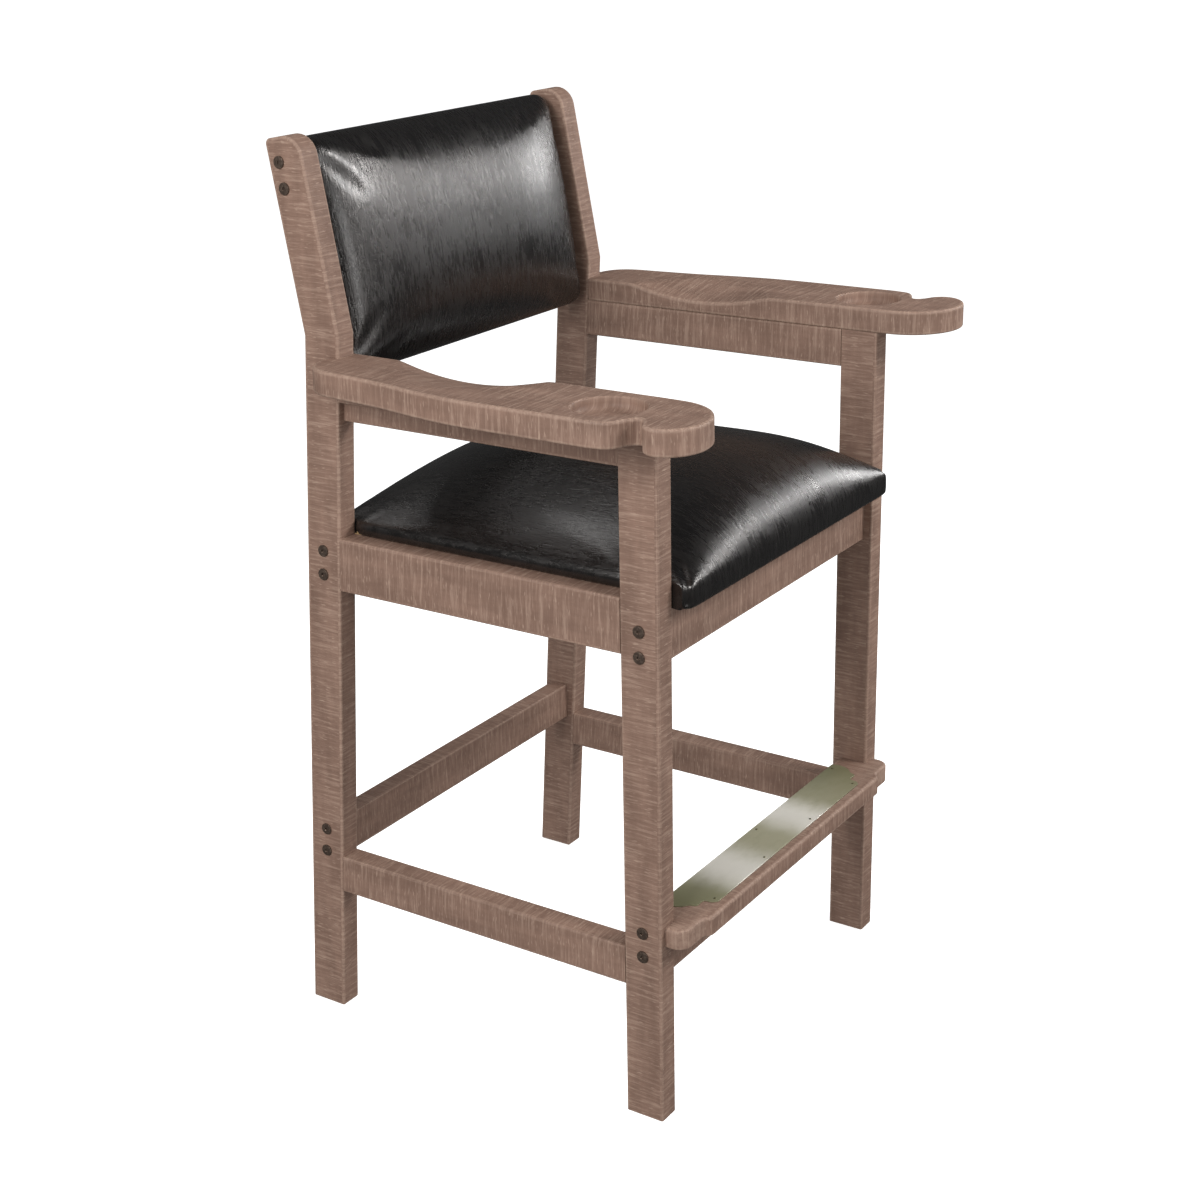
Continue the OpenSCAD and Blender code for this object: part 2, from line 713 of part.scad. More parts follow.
// The bolts and dowels pierce the cover and foam at the sides of the back
module back_side_holes(grow) {
    both_sides() {
        for (rise = back_bolts) let (p = post_point(rise, back_bolt_depth))
            bar_x(leg_in - 30, leg_in + 1, p[0], p[1], bolt_d + grow, $fn = 8);
        for (p = back_dowels) bar_x(leg_in - 30, leg_in + 1, p[0], p[1], dowel_d + grow, $fn = 8);
    }
}

module back_cover() {
    color(vinyl) placed() difference() {
        back_form(0);
        back_form(cover_t);
        back_side_holes(0.9);
        on_back(pad_back + 1) linear_extrude(5) back_plan(28);
    }
}

module back_board_holes() {
    both_sides() {
        for (rise = back_bolts) let (p = post_point(rise, back_bolt_depth)) {
            bar_x(leg_in - nut_inset - nut_d, leg_in + 1, p[0], p[1], bolt_d + 2 * fit);
            translate([leg_in - nut_inset, p[0], p[1]]) rotate([-post_rake - 90, 0, 0])
                translate([0, 0, -nut_len / 2]) cylinder(d = nut_d + 2 * fit, h = nut_len + 8);
        }
        for (p = back_dowels)
            bar_x(leg_in - dowel_len / 2 - 0.5, leg_in + 1, p[0], p[1], dowel_d + 2 * fit);
    }
}

module back_board() {
    color(pale_wood) placed() difference() {
        on_back(back_board_in + back_board_t) linear_extrude(back_board_t - 0.2) back_plan(board_inset);
        back_board_holes();
    }
}

module back_foam() {
    color(foam) placed() difference() {
        back_form(cover_t + 0.3);
        back_side_holes(1);
        on_back(pad_back + 5) linear_extrude(back_board_t + cover_t + 5.2) back_plan(board_inset - 0.3);
    }
}

module back_rear_panel() {
    color(vinyl) placed()
        on_back(pad_back + rear_panel_t + 0.1) linear_extrude(rear_panel_t) back_plan(board_inset);
}

// A furniture bolt with a flat head on the leg and a six-sided socket
module frame_bolt() {
    reach = leg_t + nut_inset + 6;
    chamfer = 0.6;
    socket_d = 4.6;
    difference() {
        union() {
            translate([0, 0, -reach]) cylinder(d = bolt_d, h = reach + 0.1, $fn = 32);
            cylinder(d = bolt_head_d, h = bolt_head_t - chamfer);
            translate([0, 0, bolt_head_t - chamfer])
                cylinder(d1 = bolt_head_d, d2 = bolt_head_d - 2, h = chamfer);
        }
        translate([0, 0, 0.5]) cylinder(d = socket_d, h = bolt_head_t, $fn = 6);
    }
}

module frame_bolts() {
    color(dark_metal) placed() for (p = bolt_places)
        translate([leg_out, p[0], p[1]]) rotate([0, 90, 0]) frame_bolt();
}

// A barrel nut lies across its bolt, turned to the face that it was pushed in from
module barrel_nut(turn) {
    rotate([turn, 0, 0]) difference() {
        translate([0, 0, -nut_len / 2]) cylinder(d = nut_d, h = nut_len);
        bar_x(-nut_d, nut_d, 0, 0, bolt_d + fit);
    }
}

module barrel_nuts() {
    back_count = len(back_bolts);
    color(zinc) placed() both_sides() for (i = [0:len(bolt_places) - 1]) let (p = bolt_places[i])
        translate([leg_in - nut_inset, p[0], p[1]])
            barrel_nut(i < len(bolt_places) - back_count ? 90 : -post_rake - 90);
}

module dowels() {
    color(pale_wood) placed() both_sides() {
        for (p = side_dowels) {
            bar_y(front_leg_w - dowel_len / 2, front_leg_w + dowel_len / 2, p[0], p[1], dowel_d);
            bar_y(rear_front(p[1]) - dowel_len / 2, rear_front(p[1]) + dowel_len / 2, p[0], p[1], dowel_d);
        }
        for (p = back_dowels) bar_x(leg_in - dowel_len / 2, leg_in + dowel_len / 2, p[0], p[1], dowel_d);
        translate([peg_x, peg_y, arm_under - peg_len / 2]) cylinder(d = dowel_d, h = peg_len);
    }
}

front_leg();  // leg_front_left
left_or_right(-1) front_leg();  // leg_front_right
rear_leg();  // leg_rear_left
left_or_right(-1) rear_leg();  // leg_rear_right
seat_rail_side();  // seat_rail_left
left_or_right(-1) seat_rail_side();  // seat_rail_right
seat_rail_front();
seat_rail_rear();
stretcher_side();  // stretcher_left
left_or_right(-1) stretcher_side();  // stretcher_right
stretcher_rear();
footrest_rail();
footrest_board();
kick_plate();
kick_plate_nails();
arm_rail();  // arm_rail_left
left_or_right(-1) arm_rail();  // arm_rail_right
arm_cleat();  // arm_cleat_left
left_or_right(-1) arm_cleat();  // arm_cleat_right
arm();  // arm_left
left_or_right(-1) arm();  // arm_right
arm_screws();
seat_board();
seat_foam();
seat_cover();
corner_blocks();
seat_screws();
back_board();
back_foam();
back_cover();
back_rear_panel();
frame_bolts();  // frame_bolts_left
left_or_right(-1) frame_bolts();  // frame_bolts_right
barrel_nuts();
dowels();
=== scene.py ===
import math

import bmesh
import bpy
import numpy as np
from bpy.props import FloatProperty, FloatVectorProperty
from mathutils import Matrix, Vector
from mathutils.geometry import delaunay_2d_cdt


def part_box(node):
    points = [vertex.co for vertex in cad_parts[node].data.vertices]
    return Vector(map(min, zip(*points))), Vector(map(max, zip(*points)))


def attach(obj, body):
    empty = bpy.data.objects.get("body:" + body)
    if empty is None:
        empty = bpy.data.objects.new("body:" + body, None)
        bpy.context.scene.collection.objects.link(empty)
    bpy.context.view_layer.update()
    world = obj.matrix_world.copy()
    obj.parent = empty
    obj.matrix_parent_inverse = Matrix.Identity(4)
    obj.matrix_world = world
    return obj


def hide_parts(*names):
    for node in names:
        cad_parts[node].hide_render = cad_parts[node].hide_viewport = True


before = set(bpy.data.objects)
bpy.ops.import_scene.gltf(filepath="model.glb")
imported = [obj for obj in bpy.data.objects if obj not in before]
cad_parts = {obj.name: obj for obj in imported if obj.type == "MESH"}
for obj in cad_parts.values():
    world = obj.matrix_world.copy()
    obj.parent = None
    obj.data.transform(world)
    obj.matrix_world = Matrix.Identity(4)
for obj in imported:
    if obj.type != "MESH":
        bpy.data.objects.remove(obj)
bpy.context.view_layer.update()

bl_info = {
    "name": "Spectator Chair",
    "version": (1, 0, 0),
    "blender": (4, 5, 0),
    "location": "View3D > Sidebar > Chair",
    "description": "Dresses a bar-height wooden armchair with eased boards, upholstery and metal",
    "category": "Object",
}

MM = 0.001
# Places are given from the front faces of the front legs, as in the part's source
FRONT_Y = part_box("leg_front_left")[0].y
LEG_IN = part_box("leg_front_left")[0].x
LEG_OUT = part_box("leg_front_left")[1].x
SIDES = ((1, "left"), (-1, "right"))
# Heights of the bolts of each cross board in mm, and how far up the posts' slope theirs are
FRONT_BOLTS, FOOT_BOLTS = (614, 646), (224, 256)
REAR_BOLTS, LOW_BOLTS, POST_BOLTS = (632, 664), (235, 267), (185, 217)
# Holes of the barrel nuts, and how far from the legs they are
NUT_RADIUS, NUT_DEPTH, NUT_INSET = 5.12 * MM, 21.5 * MM, 62 * MM
# Only a corner with a smaller radius than this is worn
WORN_RADIUS = 4 * MM
# Distance between free points inside a face, and between the points of a cushion's rim
MESH_STEP = 5 * MM
# Points on each span of a smooth curve, and parts that a loop is measured in to spare memory
CURVE_STEPS, LOOP_PARTS = 8, 12
# Light and stiff cloth under a little pressure, and the frames that it swells for
CLOTH = {"quality": 5, "mass": 0.3, "tension_stiffness": 12, "compression_stiffness": 12,
         "shear_stiffness": 6, "bending_stiffness": 4, "vertex_group_mass": "held",
         "use_pressure": True, "uniform_pressure_force": 4}
CLOTH_FRAMES = 20
# Place, point that it looks at, size in metres and power in watts of each lamp
LAMPS = {
    "far_softbox": ((2.85, -0.92, 1.5), (0.1, 0.3, 1.05), 0.6, 17),
    "corner_softbox": ((1.1, -2.35, 2.3), (-0.1, -0.1, 0.8), 0.9, 54),
    "front_softbox": ((-0.9, -3.1, 1.4), (-0.2, 0, 1.0), 0.9, 15),
    "key_light": ((-3.1, 0.0, 2.2), (0, 0, 0.6), 1.6, 86),
    "top_light": ((0.1, 1.5, 3.1), (0, 0, 0.75), 0.9, 7),
}


def paint(red, green, blue):
    """Linear colour of a display colour given in 0 to 255"""
    value = np.array([red, green, blue]) / 255
    linear = np.where(value <= 0.04045, value / 12.92, ((value + 0.055) / 1.055) ** 2.4)
    return tuple(float(v) for v in linear)


def length(name, description, default):
    """A size in metres that the user may change"""
    return FloatProperty(name=name, description=description, default=default, min=0, unit="LENGTH")


def colour(name, description, *display):
    """A colour that the user may change"""
    return FloatVectorProperty(name=name, description=description, default=paint(*display),
                               size=3, min=0, max=1, subtype="COLOR")


class ChairBoards(bpy.types.PropertyGroup):
    """Sizes of the boards' edges and of the bent rear legs"""
    ease: length("Board edge", "Radius of the eased edges of the frame's boards", 0.0022)
    wear: length("Worn strip", "Width of the paler strip beside each edge", 0.0018)
    footrest_ease: length("Footrest edge", "Radius of the footrest's top edges", 0.0034)
    arm_ease: length("Arm edge", "Radius of the arms' edges", 0.0028)
    lean: length("Lean", "Run of the rear legs between the floor and the bend", 0.060)
    bend: length("Bend height", "Height of the bend in the rear legs", 0.945)
    foot_pitch: length("Foot pitch", "Front of the front legs to the front of the rear feet", 0.512)
    rear_width: length("Rear leg width", "Width of each rear leg", 0.053)
    post: length("Post length", "Length of the posts above the bend", 0.247)
    rake: FloatProperty(name="Post rake", description="Backward rake of the posts above the bend",
                        default=math.radians(10.5), subtype="ANGLE", unit="ROTATION")
    post_front: length("Post front round", "Rounding of the front corner of a post", 0.028)
    post_rear: length("Post rear round", "Rounding of the rear corner of a post", 0.007)


class ChairArms(bpy.types.PropertyGroup):
    """Sizes cut into the arms"""
    cup: length("Cup recess", "Diameter of the cup recess", 0.086)
    cup_depth: length("Cup depth", "Depth of the cup recess", 0.016)
    cup_back: length("Cup place", "Centre of the cup recess behind the front of the leg", 0.042)
    notch: length("Cue notch", "Depth of the cue notch from the outer edge", 0.036)
    scoop: length("Scoop depth", "Depth of the elbow scoop at the inner edge", 0.016)
    scoop_length: length("Scoop length", "Length of the elbow scoop along the inner edge", 0.222)
    scoop_width: length("Scoop width", "Width of the elbow scoop across the arm", 0.084)


class ChairCushions(bpy.types.PropertyGroup):
    """Sizes of the upholstery and how far it swells"""
    seat_rise: length("Seat crown", "Rise of the seat crown above its rolled edge", 0.077)
    seat_roll: length("Seat roll", "Width of the seat's rolled edge", 0.014)
    back_rise: length("Back crown", "Rise of the back crown above the pad edge", 0.028)
    back_roll: length("Back roll", "Width of the back pad's rolled edge", 0.032)
    back_swell: length("Back swell", "Most that the back's simulated cloth may move", 0.003)
    swell: length("Swell", "Most that the simulated cloth may move", 0.006)
    voxel: length("Remesh", "Size of the remeshed faces", 0.0056)


class ChairColours(bpy.types.PropertyGroup):
    """Colours of the finishes"""
    wood: colour("Wood", "Stained frame wood", 139, 111, 96)
    wood_dark: colour("Wood, dark", "Darker stain in the grain", 112, 87, 74)
    wood_pale: colour("Wood, pale", "Worn edges and pale flecks", 174, 149, 132)
    bare_wood: colour("Bare wood", "Plywood, blocks and dowels", 205, 176, 134)
    vinyl: colour("Vinyl", "Upholstery", 15, 14, 14)
    brass: colour("Brass", "Paler middle of the kick plate", 180, 176, 150)
    brass_dark: colour("Brass, dark", "Darker ends of the kick plate", 134, 132, 102)
    # Painted reflection: near-white colour of the two bright bands painted across the kick plate
    brass_painted_reflection: colour("Brass, bright", "Painted reflections across the kick plate", 246, 242, 232)
    bolt: colour("Bolts", "Bolt heads", 96, 82, 73)
    zinc: colour("Zinc", "Nuts and screws", 176, 180, 182)
    floor: colour("Floor", "Studio floor", 244, 244, 244)


GROUPS = {"chair_boards": ChairBoards, "chair_arms": ChairArms,
          "chair_cushions": ChairCushions, "chair_colours": ChairColours}


class Finish:
    """A material or world built node by node: each method adds nodes and hands back the output"""

    def __init__(self, owner, shader="Principled BSDF"):
        self.owner = owner
        owner.use_nodes = True
        self.tree = owner.node_tree
        self.shader = self.tree.nodes[shader]

    def feed(self, socket, value):
        """Links an output to a socket, or sets a constant on it"""
        if isinstance(value, bpy.types.NodeSocket):
            self.tree.links.new(value, socket)
        else:
            socket.default_value = value

    def add(self, kind, inputs=(), output=0, **settings):
        """Adds a node with these settings and inputs"""
        node = self.tree.nodes.new(kind)
        for key, value in settings.items():
            setattr(node, key, value)
        for key, value in dict(inputs).items():
            self.feed(node.inputs[key], value)
        return node.outputs[output]

    def place(self):
        """Where a point lies in the chair's frame, in metres"""
        return self.add("ShaderNodeTexCoord", output="Object")

    def board(self):
        """The board's own map: along the board, then round it, in metres"""
        return self.add("ShaderNodeUVMap", uv_map="board")

    def mapped(self, place, scale, move=(0, 0, 0)):
        """The place stretched by a scale and moved"""
        return self.add("ShaderNodeMapping", {"Vector": place, "Scale": scale, "Location": move})

    def noise(self, place, scale, move=(0, 0, 0), detail=2, roughness=0.5, distortion=0):
        """Smooth noise, one lump to each unit of the stretched place"""
        return self.add("ShaderNodeTexNoise",
                        {"Vector": self.mapped(place, scale, move), "Scale": 1, "Detail": detail,
                         "Roughness": roughness, "Distortion": distortion})

    def cells(self, place, scale):
        """Distance to the nearest of scattered points, one point to each unit"""
        return self.add("ShaderNodeTexVoronoi", {"Vector": self.mapped(place, scale), "Scale": 1})

    def remap(self, value, low, high, to_low=0, to_high=1, **settings):
        """The value stretched from one range to another, held inside it"""
        return self.add("ShaderNodeMapRange",
                        {"Value": value, "From Min": low, "From Max": high,
                         "To Min": to_low, "To Max": to_high}, **settings)

    def mix(self, factor, first, second):
        """Two colours mixed by a factor"""
        return self.add("ShaderNodeMix", {0: factor, 6: opaque(first), 7: opaque(second)},
                        output=2, data_type="RGBA")

    def over(self, tone, shade, value, *ranges):
        """A shade laid over a tone, by a value remapped to how much of it shows"""
        return self.mix(self.remap(value, *ranges), tone, shade)

    def calc(self, operation, first, second=0.0):
        """Sum, product or other result of two values"""
        return self.add("ShaderNodeMath", {0: first, 1: second}, operation=operation)

    def lean(self, *layers):
        """Surface lean of heights laid over each other, each with its distance and strength"""
        under = {}
        for height, distance, strength in layers:
            inputs = {"Height": height, "Distance": distance, "Strength": strength}
            under = {"Normal": self.add("ShaderNodeBump", {**inputs, **under})}
        return under["Normal"]

    def finish(self, **sockets):
        """Feeds the shader's own sockets and hands back the material or world"""
        for socket, value in sockets.items():
            self.feed(self.shader.inputs[socket.replace("_", " ")], value)
        return self.owner


def opaque(value):
    """A colour with its fourth number, or an output as it is"""
    return value if isinstance(value, bpy.types.NodeSocket) else (*value[:3], 1.0)


def made_once(build):
    """Hands back the material of this name, or builds it"""
    def fetch():
        name, materials, looks = build.__name__, bpy.data.materials, bpy.context.scene.chair_colours
        return materials.get(name) or build(Finish(materials.new(name)), looks)
    return fetch


@made_once
def stained_wood(wood, looks):
    """Stained rough-sawn wood: grain along the board, saw marks across it, pale worn edges"""
    board = wood.board()
    cloud = wood.noise(board, (7, 30, 1), detail=4, roughness=0.6)
    grain = wood.noise(board, (11, 260, 1), (0.7, 0, 0), detail=4, roughness=0.6)
    saw = wood.noise(board, (230, 14, 1), detail=4, roughness=0.72, distortion=0.25)
    fine = wood.noise(board, (900, 60, 1))
    flecks = wood.noise(board, (420, 70, 1), (3, 5, 0), detail=1)
    chips = wood.noise(board, (150, 150, 1), (9, 2, 0), detail=5, roughness=0.75)
    worn = wood.add("ShaderNodeAttribute", output="Fac", attribute_name="worn")
    stain = wood.over(looks.wood_dark, looks.wood, cloud, 0.28, 0.66)
    stain = wood.over(stain, looks.wood_dark, grain, 0.3, 0.7, 0.12, 0)
    stain = wood.over(stain, looks.wood_pale, saw, 0.5, 0.66, 0, 0.42)
    stain = wood.over(stain, looks.wood_dark, saw, 0.34, 0.5, 0.5, 0)
    stain = wood.over(stain, looks.wood_pale, flecks, 0.64, 0.72, 0, 0.5)
    edge = wood.calc("MULTIPLY", worn, wood.remap(chips, 0.38, 0.66, 0.08, 0.5))
    return wood.finish(Base_Color=wood.mix(edge, stain, looks.wood_pale), Specular_IOR_Level=0.38,
                       Roughness=wood.remap(chips, 0.3, 0.7, 0.52, 0.72),
                       Normal=wood.lean((saw, 0.0011, 0.8), (grain, 0.0002, 0.3), (fine, 0.0004, 0.6)))


@made_once
def bare_wood(wood, looks):
    """Unfinished plywood and beech with thin layers and a faint grain"""
    place = wood.place()
    grain = wood.noise(place, (14, 180, 320), detail=4)
    cloud = wood.noise(place, (9, 12, 12), detail=3)
    tone = wood.over(paint(178, 146, 104), looks.bare_wood, grain, 0.3, 0.7, 0, 0.7)
    tone = wood.over(tone, paint(222, 198, 160), cloud, 0.4, 0.7, 0, 0.5)
    return wood.finish(Base_Color=tone, Specular_IOR_Level=0.3,
                       Roughness=wood.remap(cloud, 0.3, 0.7, 0.6, 0.75),
                       Normal=wood.lean((grain, 0.0003, 0.6)))


@made_once
def black_vinyl(skin, looks):
    """Black vinyl: fine leather cells under soft brushed streaks that break up its shine"""
    place = skin.place()
    streaks = skin.noise(place, (300, 48, 48), detail=3, roughness=0.6, distortion=0.5)
    hairs = skin.noise(place, (850, 60, 60), (5, 1, 0), distortion=0.6)
    broad = skin.noise(place, (26, 14, 14), (2, 0, 0), detail=3)
    cells = skin.cells(place, (820, 820, 820))
    pits = skin.noise(place, (1500, 1500, 1500))
    tone = skin.over(looks.vinyl, paint(30, 28, 27), streaks, 0.4, 0.75, 0, 0.6)
    shine = skin.calc("ADD", skin.remap(streaks, 0.3, 0.7, 0.2, 0.36),
                      skin.remap(broad, 0.3, 0.7, -0.06, 0.06))
    return skin.finish(Base_Color=tone, Roughness=shine, Specular_IOR_Level=0.8,
                       Specular_Tint=(1, 0.95, 0.92, 1), Coat_Weight=0.25, Coat_Roughness=0.2,
                       Normal=skin.lean((streaks, 0.0009, 0.75), (hairs, 0.0005, 0.6),
                                        (cells, 0.00022, 0.5), (pits, 0.0001, 0.4)))


@made_once
def kick_brass(sheet, looks):
    """Brass sheet with a darker mottle of tarnish: darker ends, a paler middle, and two painted
    reflections laid across it as near-white bands
    """
    place = sheet.place()
    across = sheet.add("ShaderNodeSeparateXYZ", {"Vector": place}, output="X")
    mottle = sheet.noise(place, (30, 60, 60), detail=4, roughness=0.55)
    lines = sheet.noise(place, (40, 1100, 1100), detail=3)
    wander = sheet.calc("ADD", across, sheet.remap(mottle, 0.3, 0.7, -0.005, 0.005))
    # Darker towards the ends of the plate, paler in its middle
    tone = sheet.over(looks.brass, looks.brass_dark, sheet.calc("ABSOLUTE", wander), 0.08, 0.22)
    tone = sheet.over(tone, looks.brass_dark, mottle, 0.5, 0.75, 0, 0.25)
    # Two painted reflections: near-white bands painted across the plate where lamps would shine in it
    for middle, width in ((0.062, 0.064), (-0.108, 0.076)):
        off = sheet.calc("ABSOLUTE", sheet.calc("SUBTRACT", wander, middle))
        painted_reflection = sheet.remap(off, width, 0.1 * width, 0, 0.9, interpolation_type="SMOOTHSTEP")
        tone = sheet.mix(painted_reflection, tone, looks.brass_painted_reflection)
    return sheet.finish(Base_Color=tone, Metallic=0.35,
                        Roughness=sheet.remap(mottle, 0.3, 0.7, 0.3, 0.5),
                        Normal=sheet.lean((mottle, 0.0003, 0.3), (lines, 0.0002, 0.5)))


@made_once
def nail_brass(metal, looks):
    """Dark brass of the small round nail heads"""
    speckle = metal.noise(metal.place(), (900, 900, 900), detail=3)
    return metal.finish(Base_Color=metal.mix(speckle, paint(70, 66, 48), looks.brass_dark),
                        Metallic=1.0, Roughness=metal.remap(speckle, 0.3, 0.7, 0.35, 0.55))


@made_once
def dark_bronze(metal, looks):
    """Satin dark bronze of the furniture bolts, with a painted sheen: paler patches laid at random over
    the heads
    """
    cast_and_sheen = metal.noise(metal.place(), (420, 420, 420), detail=4)
    # Painted sheen: a paler bronze in random patches stands in for the heads' highlight
    return metal.finish(Base_Color=metal.over(looks.bolt, paint(128, 111, 98), cast_and_sheen, 0.45, 0.75),
                        Metallic=0.7, Roughness=metal.remap(cast_and_sheen, 0.3, 0.7, 0.32, 0.5),
                        Normal=metal.lean((cast_and_sheen, 0.0002, 0.4)))


@made_once
def zinc_plate(metal, looks):
    """Zinc-plated steel with faint blotches"""
    blotch = metal.noise(metal.place(), (300, 300, 300), detail=4)
    return metal.finish(Base_Color=metal.mix(blotch, paint(140, 145, 148), looks.zinc),
                        Metallic=1.0, Roughness=metal.remap(blotch, 0.3, 0.7, 0.28, 0.45),
                        Normal=metal.lean((blotch, 0.0001, 0.3)))


@made_once
def studio_floor(floor, looks):
    """Pale matt floor with a barely visible unevenness"""
    haze = floor.noise(floor.place(), (3, 3, 3))
    tone = floor.over(looks.floor, paint(240, 240, 240), haze, 0.3, 0.7, 0, 0.3)
    return floor.finish(Base_Color=tone, Roughness=floor.remap(haze, 0.3, 0.7, 0.85, 0.9),
                        Specular_IOR_Level=0.1, Emission_Color=(1, 1, 1, 1), Emission_Strength=0.68)


class Skin:
    """Points and faces gathered part by part, with each face corner's place on the board's map"""

    def __init__(self):
        self.points = []
        self.worn = []
        self.faces = []
        self.maps = []
        self.count = 0

    def add(self, points, faces, maps, worn=0.0):
        """Adds a part: points, one array of faces, a map place per face corner, wear per point"""
        self.points.append(points)
        self.worn.append(np.broadcast_to(worn, len(points)).astype(float))
        self.faces += (faces + self.count).tolist()
        self.maps.append(maps.reshape(-1, 2))
        self.count += len(points)

    def build(self, name, material, crease=42):
        """Makes the object, closes its seams and turns its faces outwards"""
        mesh = bpy.data.meshes.new(name)
        mesh.from_pydata(np.concatenate(self.points).tolist(), [], self.faces)
        mesh.uv_layers.new(name="board").data.foreach_set("uv", np.concatenate(self.maps).ravel())
        mesh.attributes.new("worn", "FLOAT", "POINT").data.foreach_set(
            "value", np.concatenate(self.worn).astype(np.float32))
        close_up(mesh)
        mesh.shade_smooth()
        mesh.set_sharp_from_angle(angle=math.radians(crease))
        mesh.materials.append(material)
        return new_object(name, mesh)


def new_object(name, data):
    """A new object in the scene that holds this mesh, lamp or camera"""
    holder = bpy.data.objects.new(name, data)
    bpy.context.scene.collection.objects.link(holder)
    return holder


def close_up(mesh):
    """Merges points that meet and turns every face of the closed mesh outwards"""
    work = bmesh.new()
    work.from_mesh(mesh)
    bmesh.ops.remove_doubles(work, verts=work.verts, dist=2e-6)
    bmesh.ops.recalc_face_normals(work, faces=work.faces)
    work.to_mesh(mesh)
    work.free()


def dress(piece, slot, *nodes):
    """Lets a piece ride on the chair and hides the CAD nodes that it stands for. The slot is not used.
    """
    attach(piece, "root")
    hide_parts(*nodes)


def wooden(skin, node, suffix="_board"):
    """Makes one of the frame's wooden boards in place of its plain node"""
    dress(skin.build(node + suffix, stained_wood()), "frame_wood", node)


def hoops(rows, count):
    """Quads between closed rings of `count` points, ring after ring"""
    j, k = np.mgrid[0:rows - 1, 0:count]
    after = (k + 1) % count
    return np.stack([j * count + k, j * count + after,
                     (j + 1) * count + after, (j + 1) * count + k], -1).reshape(-1, 4)


def hoop_maps(along, across):
    """Map places of the quads from hoops: along has one value more than a ring has points"""
    u0, v0 = np.meshgrid(along[:-1], across[:-1])
    u1, v1 = np.meshgrid(along[1:], across[1:])
    corners = [np.stack([u0, v0], -1), np.stack([u1, v0], -1),
               np.stack([u1, v1], -1), np.stack([u0, v1], -1)]
    return np.stack(corners, 2)


def walked(points):
    """Length walked round a closed ring up to each point, and back to the first"""
    steps = np.linalg.norm(np.roll(points, -1, 0) - points, axis=1)
    return np.concatenate([[0.0], np.cumsum(steps)])


def smooth(points):
    """Catmull-Rom curve: each span is the cubic of its two points and their outer neighbours"""
    p = np.asarray(points, float)
    p = np.vstack([2 * p[0] - p[1], p, 2 * p[-1] - p[-2]])
    a, b, c, d = (p[i:len(p) - 3 + i, None] for i in range(4))
    t = np.linspace(0, 1, CURVE_STEPS, endpoint=False)[None, :, None]
    curve = 0.5 * (2 * b + (c - a) * t + (2 * a - 5 * b + 4 * c - d) * t ** 2
                   + (3 * b - 3 * c + d - a) * t ** 3)
    return np.vstack([curve.reshape(-1, 2), p[-2]])


def mirrored(half):
    """Closed outline from its +X half"""
    return np.vstack([half, half[::-1] * (-1, 1)])


class Outline:
    """Closed outline of a board. Each corner with a radius becomes an arc. A point pulled in by
    a depth d lies at centre + max(radius - d, 0) * out + max(d - radius, 0) * inward, where
    inward moves each neighbouring edge by that edge's share of d."""

    def __init__(self, points, radii=0.0, shares=1.0, reach=0.003, steps=7):
        p = np.asarray(points, float)
        radii = np.broadcast_to(radii, len(p)).astype(float)
        shares = np.broadcast_to(shares, len(p)).astype(float)
        ahead = np.roll(p, -1, 0) - p
        if np.sum(p[:, 0] * ahead[:, 1] - p[:, 1] * ahead[:, 0]) < 0:
            p, radii, shares = p[::-1], radii[::-1], np.roll(shares[::-1], -1)
            ahead = np.roll(p, -1, 0) - p
        ahead /= np.linalg.norm(ahead, axis=1, keepdims=True)
        behind = np.roll(ahead, 1, 0)
        # Normals n and shares w of the edges before and after each corner, and their cosine c
        n0, n1 = behind[:, ::-1] * (-1, 1), ahead[:, ::-1] * (-1, 1)
        w0, w1 = np.roll(shares, 1), shares
        c = np.sum(n0 * n1, axis=1)
        even = np.isclose(w0, w1)
        spread = 1 - c * c
        spread[even | (spread == 0)] = 1
        a = np.where(even, w0 / (1 + c), (w0 - c * w1) / spread)
        b = np.where(even, w0 / (1 + c), (w1 - c * w0) / spread)
        inward = a[:, None] * n0 + b[:, None] * n1
        mitre = (n0 + n1) / (1 + c)[:, None]
        run = (radii * np.sqrt(np.maximum(np.sum(mitre * mitre, 1) - 1, 0)) + reach)[:, None]
        t = np.linspace(0, 1, steps)[None, :, None]
        out = -(n0[:, None] * (1 - t) + n1[:, None] * t)
        out /= np.linalg.norm(out, axis=2, keepdims=True)
        keep = np.ones((len(p), steps + 2), bool)
        keep[radii == 0] = False
        keep[radii == 0, 1] = True

        def row(before, corner, after):
            """One value before each corner, the corner's own, and one after it"""
            return np.concatenate([before[:, None], corner, after[:, None]], 1)[keep]

        def spanned(value):
            """A corner's value for every point of its arc"""
            return np.repeat(value[:, None], steps, 1)

        none, flat = np.zeros(len(p)), np.zeros_like(p)
        worn = (radii > 0) & (radii < WORN_RADIUS)
        share = (w0 + w1) / 2
        self.centre = row(p - behind * run, spanned(p + radii[:, None] * mitre), p + ahead * run)
        self.out = row(flat, out, flat)
        self.inward = row(w0[:, None] * n0, spanned(inward), w1[:, None] * n1)
        self.radius = row(none, spanned(radii), none)
        self.worn = row(none, spanned(worn), none)
        self.share = row(share, spanned(share), share)

    def ring(self, depth):
        """The outline pulled in by a depth"""
        near = np.maximum(self.radius - depth, 0)[:, None]
        far = np.maximum(depth - self.radius, 0)[:, None]
        return self.centre + near * self.out + far * self.inward


def rim(ease, reach, steps=5):
    """Rows from the flat face over an eased edge and down the wall: depth inside the outline,
    drop below the face and wear. The edge is a quarter circle of radius ease."""
    t = np.linspace(0, math.pi / 2, steps)
    depth = np.concatenate([[ease + reach], ease * (1 - np.sin(t)), [0]])
    drop = np.concatenate([[0], ease * (1 - np.cos(t)), [ease + reach]])
    worn = np.concatenate([[0], np.ones(steps), [0]])
    return depth, drop, worn


